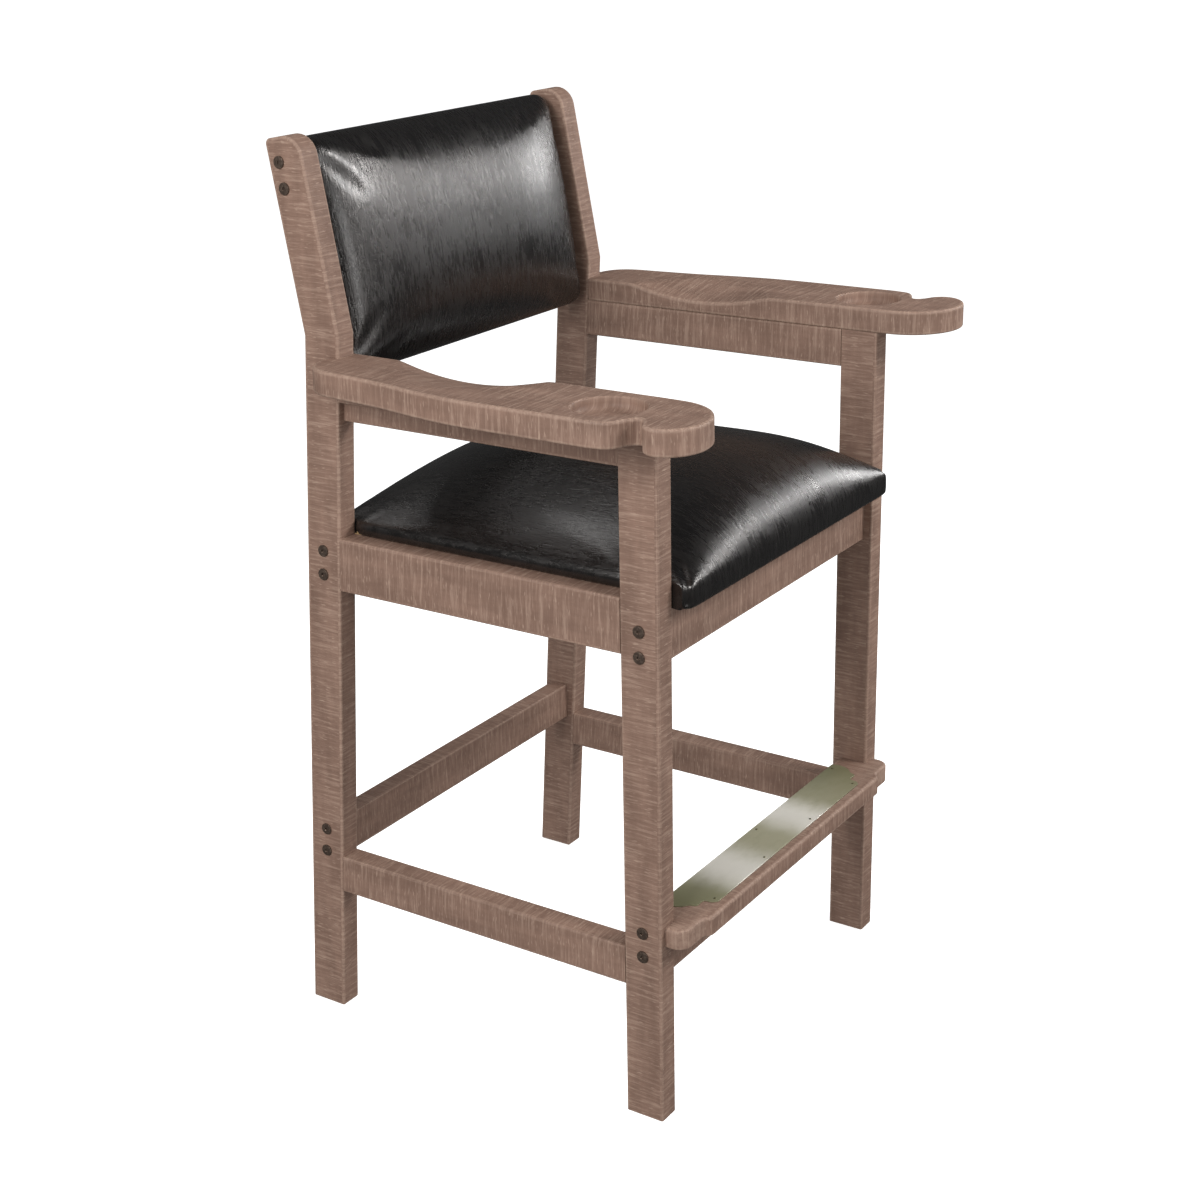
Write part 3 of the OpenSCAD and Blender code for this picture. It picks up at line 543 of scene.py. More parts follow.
def slab(skin, outline, low, high, eases, reach, lay, long_axis=0, top=None, keep_out=()):
    """Board cut from an outline: eased rings up its wall between two flat faces. `lay` places
    the outline's two numbers and the height in the chair's frame. `top` gives the upper face a
    height of its own, and keep_out lists round holes left open in it."""
    depths, drops, edges = np.hstack([rim(eases[0], reach), np.fliplr(rim(eases[1], reach))])
    last = len(depths) - 1
    rings, wear = [], []
    for i, (depth, drop, edge) in enumerate(zip(depths, drops, edges)):
        xy = outline.ring(depth)
        roof = high if top is None else top(xy)
        z = low + drop if i < last / 2 else roof - drop
        rings.append(np.column_stack([xy, np.broadcast_to(z, len(xy))]))
        wear.append(np.maximum(edge * outline.share, outline.worn if 0 < i < last else 0))
    count = len(outline.centre)
    wall = walked(outline.ring(0))
    heights = np.array([ring[:, 2].mean() for ring in rings])
    skin.add(lay(np.vstack(rings)), hoops(len(rings), count), hoop_maps(wall, heights + depths),
             np.concatenate(wear))
    order = [long_axis, 1 - long_axis]
    cap = np.arange(count)[None]
    skin.add(lay(rings[0]), cap, rings[0][:, order])
    if top is None and not keep_out:
        skin.add(lay(rings[-1]), cap, rings[-1][:, order])
        return
    xy, faces = filled([rings[-1][:, :2], *keep_out], MESH_STEP)
    roof = np.full(len(xy), high) if top is None else top(xy)
    skin.add(lay(np.column_stack([xy, roof])), faces, xy[faces][..., order])


def inside(points, loop):
    """Even-odd rule: a point is inside where a ray from it crosses the loop an odd number of times"""
    x, y = points[:, :1], points[:, 1:2]
    ax, ay = loop[:, 0], loop[:, 1]
    bx, by = np.roll(loop, -1, 0).T
    crosses = (ay > y) != (by > y)
    rise = np.where(by == ay, 1, by - ay)
    return (np.sum(crosses & (x < ax + (y - ay) * (bx - ax) / rise), axis=1) % 2).astype(bool)


def away(points, loop):
    """Distance from each point to a closed loop of straight steps"""
    a, b = loop, np.roll(loop, -1, 0)
    step = b - a
    best = np.full(len(points), np.inf)
    for part in np.array_split(np.arange(len(loop)), LOOP_PARTS):
        gap = points[:, None] - a[part][None]
        size = np.maximum(np.sum(step[part] ** 2, 1), 1e-12)
        t = np.clip(np.sum(gap * step[part][None], 2) / size, 0, 1)
        off = gap - t[..., None] * step[part][None]
        best = np.minimum(best, np.sqrt(np.sum(off ** 2, 2)).min(1))
    return best


def filled(loops, spacing=None):
    """Triangles that fill the first loop but for the others, with a grid of free points inside"""
    def wanted(places):
        """Which places lie inside the first loop and in none of the others"""
        return inside(places, loops[0]) & ~np.any([inside(places, loop) for loop in loops[1:]], 0)

    grid = np.empty((0, 2))
    if spacing:
        x, y = (np.arange(low, high, spacing) for low, high in zip(loops[0].min(0), loops[0].max(0)))
        grid = np.stack(np.meshgrid(x, y), -1).reshape(-1, 2)
        grid = grid[wanted(grid)]
        for loop in loops:
            grid = grid[away(grid, loop) > spacing / 2]
    edges, count = [], 0
    for loop in loops:
        k = np.arange(len(loop))
        edges += (np.stack([k, (k + 1) % len(loop)], 1) + count).tolist()
        count += len(loop)
    made = delaunay_2d_cdt(np.vstack([*loops, grid]).tolist(), edges, [], 0, 1e-7)
    xy, faces = np.array(made[0]), np.array(made[2])
    return xy, faces[wanted(xy[faces].mean(1))]


def circle(centre, radius, count=32):
    """Points of a circle"""
    turn = np.linspace(0, 2 * math.pi, count, endpoint=False)
    return np.asarray(centre) + radius * np.column_stack([np.cos(turn), np.sin(turn)])


def on_side(points):
    """Outline numbers Y, Z and a height X, in the chair's frame"""
    return points[:, [2, 0, 1]]


def as_given(points):
    """Outline numbers X, Y and a height Z, in the chair's frame"""
    return points


def rail(node, along, slope=0.0, nuts=(), nut_side=0, offset=0.0):
    """Straight board in its node's box: a section with eased corners carried along one axis. A
    sloped end reaches back by slope times the height above the board's underside. The face on
    nut_side has a hole for each of the nuts. The offset gives each board a grain of its own."""
    boards = bpy.context.scene.chair_boards
    low, high = (np.array(corner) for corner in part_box(node))
    first, second = [i for i in range(3) if i != along]
    corners = [(low[first], low[second]), (high[first], low[second]),
               (high[first], high[second]), (low[first], high[second])]
    section = Outline(corners, boards.ease, reach=boards.wear)
    ring = section.ring(0)
    count = len(ring)
    reach = np.array([np.full(count, low[along]), high[along] - slope * (ring[:, 1] - low[second])])
    points = np.empty((2, count, 3))
    points[..., first], points[..., second], points[..., along] = ring[:, 0], ring[:, 1], reach
    faces = hoops(2, count)
    maps = hoop_maps(walked(ring), np.array([0.0, high[along] - low[along]]))[..., ::-1]
    skin = Skin()
    if nut_side:
        face = low[first] if nut_side < 0 else high[first]
        strip = np.all(np.isclose(ring[faces[:, :2] % count][..., 0], face), 1)
        strip &= np.all(section.worn[faces[:, :2] % count] == 0, 1)
        axes = [along, second, first]
        loop = points.reshape(-1, 3)[faces[strip][0]][:, axes[:2]]
        nut_face(skin, loop, nuts, axes, face, nut_side)
        faces, maps = faces[~strip], maps.reshape(-1, 4, 2)[~strip]
    skin.add(points.reshape(-1, 3), faces, maps + (offset, 0), np.tile(section.worn, 2))
    for end in (0, 1):
        skin.add(points[end], np.arange(count)[None], ring + (offset, 0))
    wooden(skin, node)


def nut_face(skin, loop, nuts, axes, face, side):
    """The face of a cross board that its barrel nuts went in from: a flat strip with blind holes"""
    holes = [circle(nut, NUT_RADIUS) for nut in nuts]
    xy, faces = filled([loop] + holes)

    def lay(flat, inward=0.0):
        laid = np.empty((len(flat), 3))
        laid[:, axes] = np.column_stack([flat, np.full(len(flat), face - side * inward)])
        return laid

    skin.add(lay(xy), faces, xy[faces])
    for hole in holes:
        count = len(hole)
        wall = np.vstack([lay(hole), lay(hole, NUT_DEPTH)])
        skin.add(wall, hoops(2, count), hoop_maps(walked(hole), np.array([0.0, NUT_DEPTH])))
        skin.add(lay(hole, NUT_DEPTH), np.arange(count)[None], hole)


def front_at(height):
    """Front face of a rear leg at a height below the bend"""
    boards = bpy.context.scene.chair_boards
    return FRONT_Y + boards.foot_pitch - height * boards.lean / boards.bend


def post_point(rise, depth):
    """Point of the post's own frame, from its rise along the slope and its depth from the front"""
    boards = bpy.context.scene.chair_boards
    s, c = math.sin(boards.rake), math.cos(boards.rake)
    y = FRONT_Y + boards.foot_pitch - boards.lean
    return np.stack([y + rise * s + depth * c, boards.bend + rise * c - depth * s], -1)


def nut_places(heights):
    """Both ends of a board: places across and heights of its barrel nuts"""
    return [(side * (LEG_IN - NUT_INSET), z * MM) for side in (-1, 1) for z in heights]


class CHAIR_OT_legs(bpy.types.Operator):
    """Boards of the front legs and the bent rear legs"""
    bl_idname = "chair.legs"
    bl_label = "Legs"

    def execute(self, context):
        boards = context.scene.chair_boards
        lean = math.atan(boards.lean / boards.bend)
        half, turn = (boards.rake + lean) / 2, (boards.rake - lean) / 2
        run = boards.rear_width / math.cos(half)
        foot = FRONT_Y + boards.foot_pitch
        bend = post_point(0.0, 0.0)
        corners = [(foot, 0), bend, post_point(boards.post, 0.0),
                   post_point(boards.post, boards.rear_width),
                   (bend[0] + run * math.cos(turn), bend[1] - run * math.sin(turn)),
                   (foot + boards.rear_width / math.cos(lean), 0)]
        radii = [boards.ease, 0, boards.post_front, boards.post_rear, 0, boards.ease]
        outline = Outline(corners, radii, reach=boards.wear, steps=9)
        for side, word in SIDES:
            rail(f"leg_front_{word}", 2, offset=0.31 * side)
            skin = Skin()
            x = sorted((side * LEG_IN, side * LEG_OUT))
            slab(skin, outline, *x, (boards.ease, boards.ease), boards.wear, on_side, 1)
            wooden(skin, f"leg_rear_{word}")
        return {"FINISHED"}


class CHAIR_OT_rails(bpy.types.Operator):
    """Seat rails, stretchers, arm rails and the strips beside them"""
    bl_idname = "chair.rails"
    bl_label = "Rails and stretchers"

    def execute(self, context):
        boards = context.scene.chair_boards
        slope = boards.lean / boards.bend
        for number, kind in enumerate(("seat_rail", "stretcher", "arm_rail", "arm_cleat")):
            for side, word in SIDES:
                rail(f"{kind}_{word}", 1, slope, offset=0.83 * number + 0.4 * side)
        rail("seat_rail_front", 0, nuts=nut_places(FRONT_BOLTS), nut_side=1, offset=5.1)
        rail("seat_rail_rear", 0, nuts=nut_places(REAR_BOLTS), nut_side=-1, offset=6.3)
        rail("stretcher_rear", 0, nuts=nut_places(LOW_BOLTS), nut_side=1, offset=7.9)
        rail("footrest_rail", 0, nuts=nut_places(FOOT_BOLTS[:1]), nut_side=1, offset=8.8)
        return {"FINISHED"}


class CHAIR_OT_footrest(bpy.types.Operator):
    """Footrest board with rounded ears, and the brass kick plate on it"""
    bl_idname = "chair.footrest"
    bl_label = "Footrest and kick plate"

    def execute(self, context):
        boards = context.scene.chair_boards
        low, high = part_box("footrest_board")
        clear, ear_wear = 0.3 * MM, 0.85
        leg, stop, ear_y = LEG_IN - clear, FRONT_Y - clear, low.y + 8 * MM
        half = np.array([(LEG_IN - 32 * MM, low.y), (LEG_IN - 22 * MM, ear_y), (high.x, ear_y),
                         (high.x, stop), (leg, stop), (leg, high.y)])
        half_radii = [12 * MM, 0, 17 * MM, 0, 0, boards.ease]
        # The edges that meet the legs keep their places
        shares = [1, 1, 1, 0, 0, 1, 0, 0, 1, 1, 1, 1]
        outline = Outline(mirrored(half), half_radii + half_radii[::-1], shares, boards.wear, 9)
        skin = Skin()
        slab(skin, outline, low.z, high.z, (boards.ease, boards.footrest_ease), boards.wear, as_given)
        for part, worn in zip(skin.points, skin.worn):
            ear = (np.abs(part[:, 0]) > LEG_IN - 24 * MM) & (part[:, 1] < stop - 2 * MM)
            worn[ear] = np.maximum(worn[ear], ear_wear)
        wooden(skin, "footrest_board", "_worn")
        low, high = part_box("kick_plate")
        # Each end of the plate is a tongue down to a cusp, then a hollow to the front corner
        end = high.x - 1 * MM
        cusp = np.array([high.x - 15 * MM, high.y - 34 * MM])
        corner = np.array([high.x - 43 * MM, low.y])
        tongue = smooth([(end - 1 * MM, high.y - 6 * MM), (end - 1 * MM, high.y - 16 * MM),
                         (end - 6 * MM, high.y - 27 * MM), cusp])
        hollow = smooth([cusp, cusp + np.array([-5, -9]) * MM,
                         (cusp + corner) / 2 + np.array([-5, 3]) * MM,
                         corner + np.array([6, 6]) * MM, corner])
        half = np.vstack([[(end - 3 * MM, high.y)], tongue[:-1], hollow])[::-1]
        eases, strip = (0.1 * MM, 0.45 * MM), 0.6 * MM
        skin = Skin()
        slab(skin, Outline(mirrored(half)), low.z, high.z, eases, strip, as_given)
        dress(skin.build("kick_plate_sheet", kick_brass()), "brass_plate", "kick_plate")
        return {"FINISHED"}


class CHAIR_OT_arms(bpy.types.Operator):
    """Arms with a rounded nose, cue notch, cup recess and elbow scoop"""
    bl_idname = "chair.arms"
    bl_label = "Arms"

    def execute(self, context):
        boards, arms = context.scene.chair_boards, context.scene.chair_arms
        low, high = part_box("arm_left")
        # The curves are given in mm, along Y from the front of the leg
        inner, outer, nose = low.x / MM, high.x / MM, (low.y - FRONT_Y) / MM
        clear, inner_points = 0.4, 90
        post = (front_at(high.z) - FRONT_Y) / MM - clear
        leg, notch = LEG_OUT / MM + clear, outer - arms.notch / MM
        front = smooth([(inner, 6), (inner + 3, nose + 54), (inner + 18, nose + 25),
                        (inner + 44, nose + 6), (inner + 72, nose), (outer - 30, nose + 5),
                        (outer - 12, nose + 19), (outer - 5, nose + 38), (outer - 13, nose + 54),
                        (notch + 7, nose + 63), (notch, nose + 72), (notch + 8, nose + 81),
                        (outer - 14, nose + 87), (outer - 4, nose + 97), (outer, nose + 118)])
        back = smooth([(outer, 62), (outer, 150), (outer - 2, 215), (outer - 10, 275),
                       (outer - 21, 330), (outer - 29, 390), (outer - 34, 432),
                       (outer - 47, 455), (outer - 68, 466), (leg, 469)])
        side = np.column_stack([np.full(inner_points, inner), np.linspace(post, 12, inner_points)])
        edge = np.vstack([side, front, back, [(leg, post)]]) * MM + (0, FRONT_Y)
        # The last two edges lie against the leg and the post
        shares = np.ones(len(edge))
        shares[-2:] = 0
        outline = Outline(edge, shares=shares)
        reach, depth = arms.scoop_length / 2, arms.scoop
        drum = (reach ** 2 + depth ** 2) / (2 * depth)
        tip = math.atan(depth / arms.scoop_width)
        middle, soft = FRONT_Y + 272 * MM, 1.6 * MM

        def top(xy):
            """Lower of the flat board and the tipped drum, blended over a soft crease"""
            bow = drum - np.sqrt(np.maximum(drum ** 2 - (xy[:, 1] - middle) ** 2, 0))
            cut = high.z - depth + (xy[:, 0] - low.x) * math.tan(tip) + bow / math.cos(tip)
            return (high.z + cut - np.sqrt((high.z - cut) ** 2 + soft ** 2)) / 2

        cup_out = 30 * MM
        cup = np.array([LEG_OUT + cup_out, FRONT_Y + arms.cup_back])
        radius, lip, floor_round = arms.cup / 2, 2.2 * MM, 9 * MM
        count, steps, lip_wear = 96, 5, 0.6
        t = np.linspace(0, math.pi / 2, steps)
        radii = np.concatenate([radius + lip * (1 - np.sin(t)),
                                radius - floor_round * (1 - np.cos(t)), [0]])
        drops = np.concatenate([lip * (1 - np.cos(t)),
                                arms.cup_depth - floor_round * (1 - np.sin(t)), [arms.cup_depth]])
        wear = np.repeat([lip_wear] * steps + [0] * (steps + 1), count)
        rounds = np.vstack([np.column_stack([circle(cup, r, count), np.full(count, high.z - d)])
                            for r, d in zip(radii, drops)])
        for side, word in SIDES:
            flip = np.array([side, 1, 1])
            skin = Skin()

            def lay(points):
                return points * flip

            slab(skin, outline, low.z, high.z, (boards.arm_ease, boards.arm_ease), boards.wear, lay,
                 1, top, [circle(cup, radius + lip, count)])
            faces = hoops(len(radii), count)
            skin.add(rounds * flip, faces, rounds[faces][..., [1, 0]], wear)
            wooden(skin, f"arm_{word}")
        return {"FINISHED"}


class CHAIR_OT_bolts(bpy.types.Operator):
    """Furniture bolts with flat heads and six-sided sockets"""
    bl_idname = "chair.bolts"
    bl_label = "Bolts"

    def execute(self, context):
        boards = context.scene.chair_boards
        slope = boards.lean / boards.bend
        run = boards.rear_width * math.sqrt(1 + slope * slope)
        leg_middle, post_depth = 26 * MM, 36.5 * MM
        places = [(FRONT_Y + leg_middle, z * MM) for z in FRONT_BOLTS + FOOT_BOLTS]
        places += [(front_at(z * MM) + run / 2, z * MM) for z in REAR_BOLTS + LOW_BOLTS]
        places += [post_point(rise * MM, post_depth) for rise in POST_BOLTS]
        count = 48
        turn = np.linspace(0, 2 * math.pi, count, endpoint=False)
        six = 1 / np.cos((turn + math.pi / 6) % (math.pi / 3) - math.pi / 6)
        t = np.linspace(0, math.pi / 2, 4)
        # Each step of the profile is a radius and a height in mm, and whether it is six-sided
        head, socket, shank, ease = 7.75, 2.0, 3.0, 0.8
        floor, wall, face, bevel, tip = 0.5, 2.0, 2.2, 0.25, -99
        profile = [(0, floor, 0), (socket, floor, 1), (socket, wall, 1), (socket + bevel, face, 1)]
        profile += [(head - ease * (1 - s), face - ease * (1 - c), 0)
                    for s, c in zip(np.sin(t), np.cos(t))]
        profile += [(head, 0, 0), (shank, 0, 0), (shank, tip, 0), (0, tip, 0)]
        rows = []
        for radius, out, hexagon in profile:
            r = radius * (six if hexagon else np.ones(count))
            rows.append(np.column_stack([np.full(count, out), r * np.cos(turn), r * np.sin(turn)]) * MM)
        bolt = np.vstack(rows)
        faces = hoops(len(rows), count)
        for side, word in SIDES:
            skin = Skin()
            for y, z in places:
                placed = (bolt + (LEG_OUT, y, z)) * (side, 1, 1)
                skin.add(placed, faces, placed[faces][..., 1:])
            dress(skin.build(f"bolts_{word}", dark_bronze(), 30), "bolt_bronze", f"frame_bolts_{word}")
        return {"FINISHED"}


def pillow(name, loop, low, full, shoulder, rolled):
    """Closed cushion over a flat loop: an underside at the low height, a straight wall up to the
    shoulder, and a top that rises from there to the full height by the rolled edge's share."""
    xy, faces = filled([loop], MESH_STEP)
    top = np.column_stack([xy, shoulder + (full(xy) - shoulder) * rolled(xy)])
    under = np.column_stack([xy, low(xy)])
    edge, count = np.arange(len(loop)), len(xy)
    after = (edge + 1) % len(loop)
    wall = np.stack([edge + count, after + count, after, edge], 1)
    mesh = bpy.data.meshes.new(name)
    mesh.from_pydata(np.vstack([top, under]).tolist(), [],
                     faces.tolist() + (faces[:, ::-1] + count).tolist() + wall.tolist())
    close_up(mesh)
    return new_object(name, mesh)


def settled(piece):
    """Replaces a piece's mesh by what its modifiers make of it"""
    graph = bpy.context.evaluated_depsgraph_get()
    made = bpy.data.meshes.new_from_object(piece.evaluated_get(graph))
    piece.modifiers.clear()
    piece.data = made


def corners_of(mesh):
    """The mesh's points as an array"""
    points = np.empty(len(mesh.vertices) * 3)
    mesh.vertices.foreach_get("co", points)
    return points.reshape(-1, 3)


def stuff(piece, held, cap, voxel):
    """Remeshes a cushion, swells its cloth where it isn't held, and limits how far a point moves"""
    remesh = piece.modifiers.new("even", "REMESH")
    remesh.mode, remesh.voxel_size = "VOXEL", voxel
    piece.modifiers.new("soften", "SMOOTH").iterations = 5
    settled(piece)
    start = corners_of(piece.data)
    group = piece.vertex_groups.new(name="held")
    group.add(np.flatnonzero(held(start)).tolist(), 1.0, "REPLACE")
    settings = piece.modifiers.new("cloth", "CLOTH").settings
    for name, value in CLOTH.items():
        setattr(settings, name, value)
    settings.effector_weights.gravity = 0
    scene = bpy.context.scene
    for number in range(1, CLOTH_FRAMES + 1):
        scene.frame_set(number)
    settled(piece)
    scene.frame_set(1)
    moved = corners_of(piece.data) - start
    far = np.maximum(np.linalg.norm(moved, axis=1, keepdims=True), 1e-9)
    piece.data.vertices.foreach_set("co", (start + moved * np.minimum(1, cap / far)).ravel())


def sleek(piece, material, place):
    """Adds one subdivision, puts the cushion in its place and gives it its material"""
    piece.modifiers.new("soften", "SMOOTH").iterations = 3
    fine = piece.modifiers.new("fine", "SUBSURF")
    fine.levels = fine.render_levels = 1
    settled(piece)
    mesh = piece.data
    mesh.vertices.foreach_set("co", place(corners_of(mesh)).ravel())
    close_up(mesh)
    mesh.shade_smooth()
    mesh.materials.clear()
    mesh.materials.append(material)


def ramp(value, low, high):
    """0 below low, 1 above high, and a smooth step between them"""
    t = np.clip((value - low) / (high - low), 0, 1)
    return t * t * (3 - 2 * t)


def even_loop(outline):
    """The outline as evenly spaced points"""
    ring = outline.ring(0)
    along = walked(ring)
    stops = np.linspace(0, along[-1], int(along[-1] / MESH_STEP), endpoint=False)
    closed = np.vstack([ring, ring[:1]])
    return np.column_stack([np.interp(stops, along, closed[:, i]) for i in range(2)])


class CHAIR_OT_seat(bpy.types.Operator):
    """Crowned seat cushion between the legs, full at its rear edge and rolled over the front rail"""
    bl_idname = "chair.seat"
    bl_label = "Seat cushion"

    def execute(self, context):
        cushions = context.scene.chair_cushions
        low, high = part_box("seat_cover")
        rail_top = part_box("seat_rail_left")[1].z
        front_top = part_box("seat_rail_front")[1].z
        slim = 1.5 * MM
        side, step = high.x - slim, LEG_IN - 0.5 * MM
        front, rear = low.y + slim, high.y - slim
        bulge, nose = 4 * MM, 16 * MM
        # Where the sides step in behind the front legs and before the posts, in mm
        leg_back, post_front, slant = 54, 465, 2
        half = [(step + bulge, front), (step + bulge, FRONT_Y - 3 * MM), (step, FRONT_Y - 1.5 * MM),
                (step, FRONT_Y + leg_back * MM), (side, FRONT_Y + (leg_back + slant) * MM),
                (side, FRONT_Y + (post_front - slant) * MM), (step, FRONT_Y + post_front * MM),
                (step, rear)]
        radii = [nose, 2 * MM, 0, 0, 6 * MM, 6 * MM, 0, 14 * MM]
        loop = even_loop(Outline(mirrored(np.array(half)), radii + radii[::-1]))
        middle, reach = (low.y + high.y) / 2, (high.y - low.y) / 2
        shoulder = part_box("seat_board")[1].z + 1 * MM
        base = shoulder + 2.5 * MM
        drop_start, drop_end = FRONT_Y + 30 * MM, FRONT_Y + 60 * MM

        def under(xy):
            """Rail height, dropping to the lower front rail"""
            return front_top + (rail_top - front_top) * ramp(xy[:, 1], drop_start, drop_end)

        def crown(xy):
            """Rise across and along the seat: 1 - |s|^p across, where p falls from 3 at the front
            to 1.85 behind, times 1 - |t|^5.5 forwards and 1 - 0.7 t^3 backwards"""
            s, t = np.abs(xy[:, 0] / high.x), (xy[:, 1] - middle) / reach
            across = 1 - s ** (3.0 - 0.575 * (t + 1))
            run = 1 - np.where(t > 0, 0.7 * np.abs(t) ** 3, np.abs(t) ** 5.5)
            return base + cushions.seat_rise * across * run

        def rolled(xy):
            """Quarter ellipse over the distance to the rim"""
            gap = away(xy, loop)
            gap[gap < 1e-6] = 0
            return np.sqrt(1 - (1 - np.clip(gap / cushions.seat_roll, 0, 1)) ** 2)

        piece = pillow("seat_cushion", loop, under, crown, shoulder, rolled)

        def held(p):
            """The stapled lower edge, and the rim beside the board"""
            rim_x, rim_y, staple = 9 * MM, 10 * MM, 4 * MM
            beside = (np.abs(p[:, 0]) > LEG_IN - rim_x) | (p[:, 1] > rear - rim_y)
            return p[:, 2] < np.where(beside, shoulder + 1 * MM, under(p) + staple)

        def finished(p):
            """Keeps the wall outside the board between the legs, and draws a pleat in each front
            corner: 4 mm exp(-(w / 5 mm)^2) deep, w across it, fading 50 mm from the corner"""
            off_x, y = np.abs(p[:, 0]), p[:, 1]
            end, pulled, lip = 12 * MM, 6 * MM, 1.5 * MM
            beside = ((y > FRONT_Y - end) & (y < FRONT_Y + (leg_back - 1) * MM)
                      | (y > FRONT_Y + (post_front + 1) * MM) & (y < rear - end))
            wall = beside & (off_x > step - pulled) & (p[:, 2] < shoulder + lip)
            off_x = np.where(wall, step, off_x)
            tip = nose * (1 - math.sqrt(0.5))
            dx, dy = off_x - (step + bulge - tip), y - (front + tip)
            inwards, across = (dy - dx) / math.sqrt(2), (dy + dx) / math.sqrt(2)
            deep, width, fade, rise = 4 * MM, 5 * MM, (15 * MM, 50 * MM), (2 * MM, 12 * MM)
            groove = np.exp(-(across / width) ** 2) * (1 - ramp(inwards, *fade))
            groove *= deep / math.sqrt(3) * ramp(p[:, 2], front_top + rise[0], front_top + rise[1])
            shape = np.column_stack([off_x - groove, y + groove, p[:, 2] - groove])
            return shape * np.column_stack([np.sign(p[:, 0]), np.ones((len(p), 2))])

        stuff(piece, held, cushions.swell, cushions.voxel)
        sleek(piece, black_vinyl(), finished)
        dress(piece, "vinyl", "seat_cover", "seat_foam")
        return {"FINISHED"}


class CHAIR_OT_back(bpy.types.Operator):
    """Crowned back cushion between the posts"""
    bl_idname = "chair.back"
    bl_label = "Back cushion"

    def execute(self, context):
        boards, cushions = context.scene.chair_boards, context.scene.chair_cushions
        # The pad's own frame: X across, rise along the posts, and depth forwards from its rear
        half_x, slim, corner = LEG_IN - 0.6 * MM, 1.2 * MM, 17 * MM
        low, high = -58 * MM, boards.post - 3 * MM
        rear, edge, shoulder, glued = 46.7 * MM, 37.7 * MM, 20 * MM, 22 * MM
        side = half_x - slim
        corners = [(side, low + slim), (side, high - slim), (-side, high - slim), (-side, low + slim)]
        loop = even_loop(Outline(corners, corner))
        middle, reach = (low + high) / 2, (high - low) / 2

        def under(xy):
            """Flat against the back board"""
            return np.zeros(len(xy))

        def crown(xy):
            """Pad edge and a rise of (1 - |s|^3.6) (1 - |t|^2.6)"""
            s, t = np.abs(xy[:, 0] / half_x), np.abs((xy[:, 1] - middle) / reach)
            return edge + cushions.back_rise * (1 - s ** 3.6) * (1 - t ** 2.6)

        def upright(p):
            """Lays the pad into the raked plane of the posts"""
            yz = post_point(p[:, 1], rear - p[:, 2])
            return np.column_stack([p[:, 0], yz])

        def rolled(xy):
            """Quarter ellipse of the 4-norm of the ways into both rolled edges, soft in the corners"""
            inwards = (side, reach - slim) - np.abs(xy - (0, middle))
            past = np.clip(1 - inwards / cushions.back_roll, 0, 1)
            return np.sqrt(1 - np.minimum(1, np.sqrt((past ** 4).sum(1))))

        piece = pillow("back_cushion", loop, under, crown, shoulder, rolled)
        stuff(piece, lambda p: p[:, 2] < glued, cushions.back_swell, cushions.voxel)
        sleek(piece, black_vinyl(), upright)
        dress(piece, "vinyl", "back_cover", "back_foam")
        return {"FINISHED"}


class CHAIR_OT_hardware(bpy.types.Operator):
    """Finishes of the small parts that keep their own shapes"""
    bl_idname = "chair.hardware"
    bl_label = "Hardware and hidden parts"

    def execute(self, context):
        finishes = {
            nail_brass: ["kick_plate_nails"],
            zinc_plate: ["arm_screws", "seat_screws", "barrel_nuts"],
            bare_wood: ["seat_board", "back_board", "corner_blocks", "dowels"],
            black_vinyl: ["back_rear_panel"],
        }
        for finish, nodes in finishes.items():
            for node in nodes:
                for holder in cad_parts[node].material_slots:
                    holder.link = "OBJECT"
                    holder.material = finish()
        return {"FINISHED"}


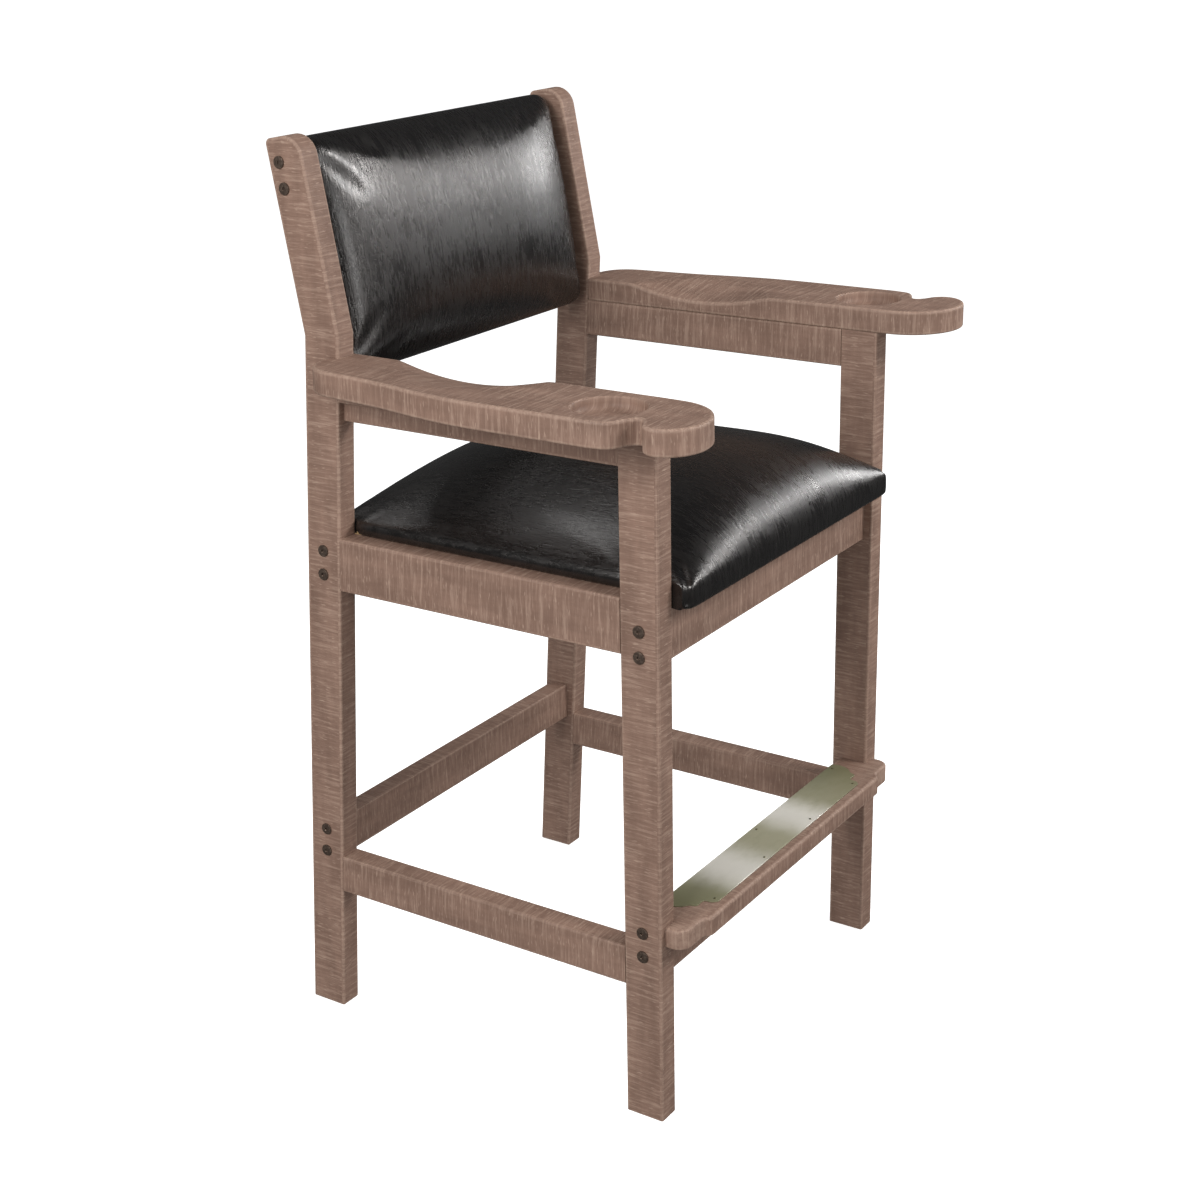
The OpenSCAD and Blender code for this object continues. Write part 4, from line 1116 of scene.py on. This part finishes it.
class CHAIR_OT_stage(bpy.types.Operator):
    """Pale floor, soft studio lights and the camera"""
    bl_idname = "chair.stage"
    bl_label = "Stage"

    def execute(self, context):
        scene = context.scene
        radius, count, drop = 60, 64, 0.0004
        points = np.column_stack([circle((0, 0), radius, count), np.full(count, -drop)])
        mesh = bpy.data.meshes.new("studio_floor")
        mesh.from_pydata(points.tolist(), [], [list(range(count))])
        mesh.materials.append(studio_floor())
        floor = new_object("studio_floor", mesh)
        floor.visible_glossy = floor.visible_diffuse = False
        self.room(scene)
        for name, lamp in LAMPS.items():
            self.lamp(name, *lamp)
        scene.view_settings.view_transform = "Standard"
        scene.view_settings.look = "None"
        self.camera(scene)
        return {"FINISHED"}

    def room(self, scene):
        """White room: plain white behind the chair, a softer glow on it, and dark in its gloss"""
        lit, gloss, white = 0.5, 0.06, (1, 1, 1, 1)
        room = Finish(bpy.data.worlds.new("white_studio"), "Background")
        seen = room.remap(room.add("ShaderNodeLightPath", output="Is Camera Ray"), 0, 1, lit, 1)
        shining = room.add("ShaderNodeLightPath", output="Is Glossy Ray")
        strength = room.add("ShaderNodeMix", {0: shining, 2: seen, 3: gloss})
        scene.world = room.finish(Color=white, Strength=strength)

    def lamp(self, name, place, target, size, power):
        """Square soft light that looks at a point"""
        light = bpy.data.lights.new(name, "AREA")
        light.size, light.energy = size, power
        holder = new_object(name, light)
        holder.location = place
        holder.rotation_euler = (Vector(target) - Vector(place)).to_track_quat("-Z", "Y").to_euler()

    def camera(self, scene):
        """Camera of the photograph: a turn about the target, a small roll and a small shift"""
        azimuth, elevation, roll = (math.radians(a) for a in (-55.731, 18.313, -1.386))
        target, distance = Vector((0.437009, 0.382288, 0.459113)), 3.269955
        back = Vector((math.sin(azimuth) * math.cos(elevation),
                       -math.cos(azimuth) * math.cos(elevation), math.sin(elevation)))
        right = (-back).cross(Vector((0, 0, 1))).normalized()
        up = right.cross(-back)
        tilted = right * math.cos(roll) + up * math.sin(roll)
        upper = -right * math.sin(roll) + up * math.cos(roll)
        data = bpy.data.cameras.new("photo_camera")
        data.lens, data.sensor_width = 60.67, 36
        data.shift_x, data.shift_y = 0.02833, -0.0575
        camera = new_object("photo_camera", data)
        turn = Matrix((tilted, upper, back)).transposed().to_4x4()
        camera.matrix_world = Matrix.Translation(target + back * distance) @ turn
        scene.camera = camera


STEPS = (CHAIR_OT_stage, CHAIR_OT_legs, CHAIR_OT_rails, CHAIR_OT_footrest, CHAIR_OT_arms,
         CHAIR_OT_bolts, CHAIR_OT_seat, CHAIR_OT_back, CHAIR_OT_hardware)


class CHAIR_PT_panel(bpy.types.Panel):
    """Lists the sizes, the colours and the steps"""
    bl_label = "Spectator chair"
    bl_space_type = "VIEW_3D"
    bl_region_type = "UI"
    bl_category = "Chair"

    def draw(self, context):
        for group, kind in GROUPS.items():
            box = self.layout.box()
            for name in kind.__annotations__:
                box.prop(getattr(context.scene, group), name)
        for step in STEPS:
            self.layout.operator(step.bl_idname)


def register():
    for kind in (*GROUPS.values(), *STEPS, CHAIR_PT_panel):
        bpy.utils.register_class(kind)
    for name, kind in GROUPS.items():
        setattr(bpy.types.Scene, name, bpy.props.PointerProperty(type=kind))


def unregister():
    for name in GROUPS:
        delattr(bpy.types.Scene, name)
    for kind in reversed((*GROUPS.values(), *STEPS, CHAIR_PT_panel)):
        bpy.utils.unregister_class(kind)


def main():
    """Runs every step"""
    register()
    for step in STEPS:
        getattr(bpy.ops.chair, step.bl_idname.split(".")[1])()


if __name__ == "__main__":
    main()
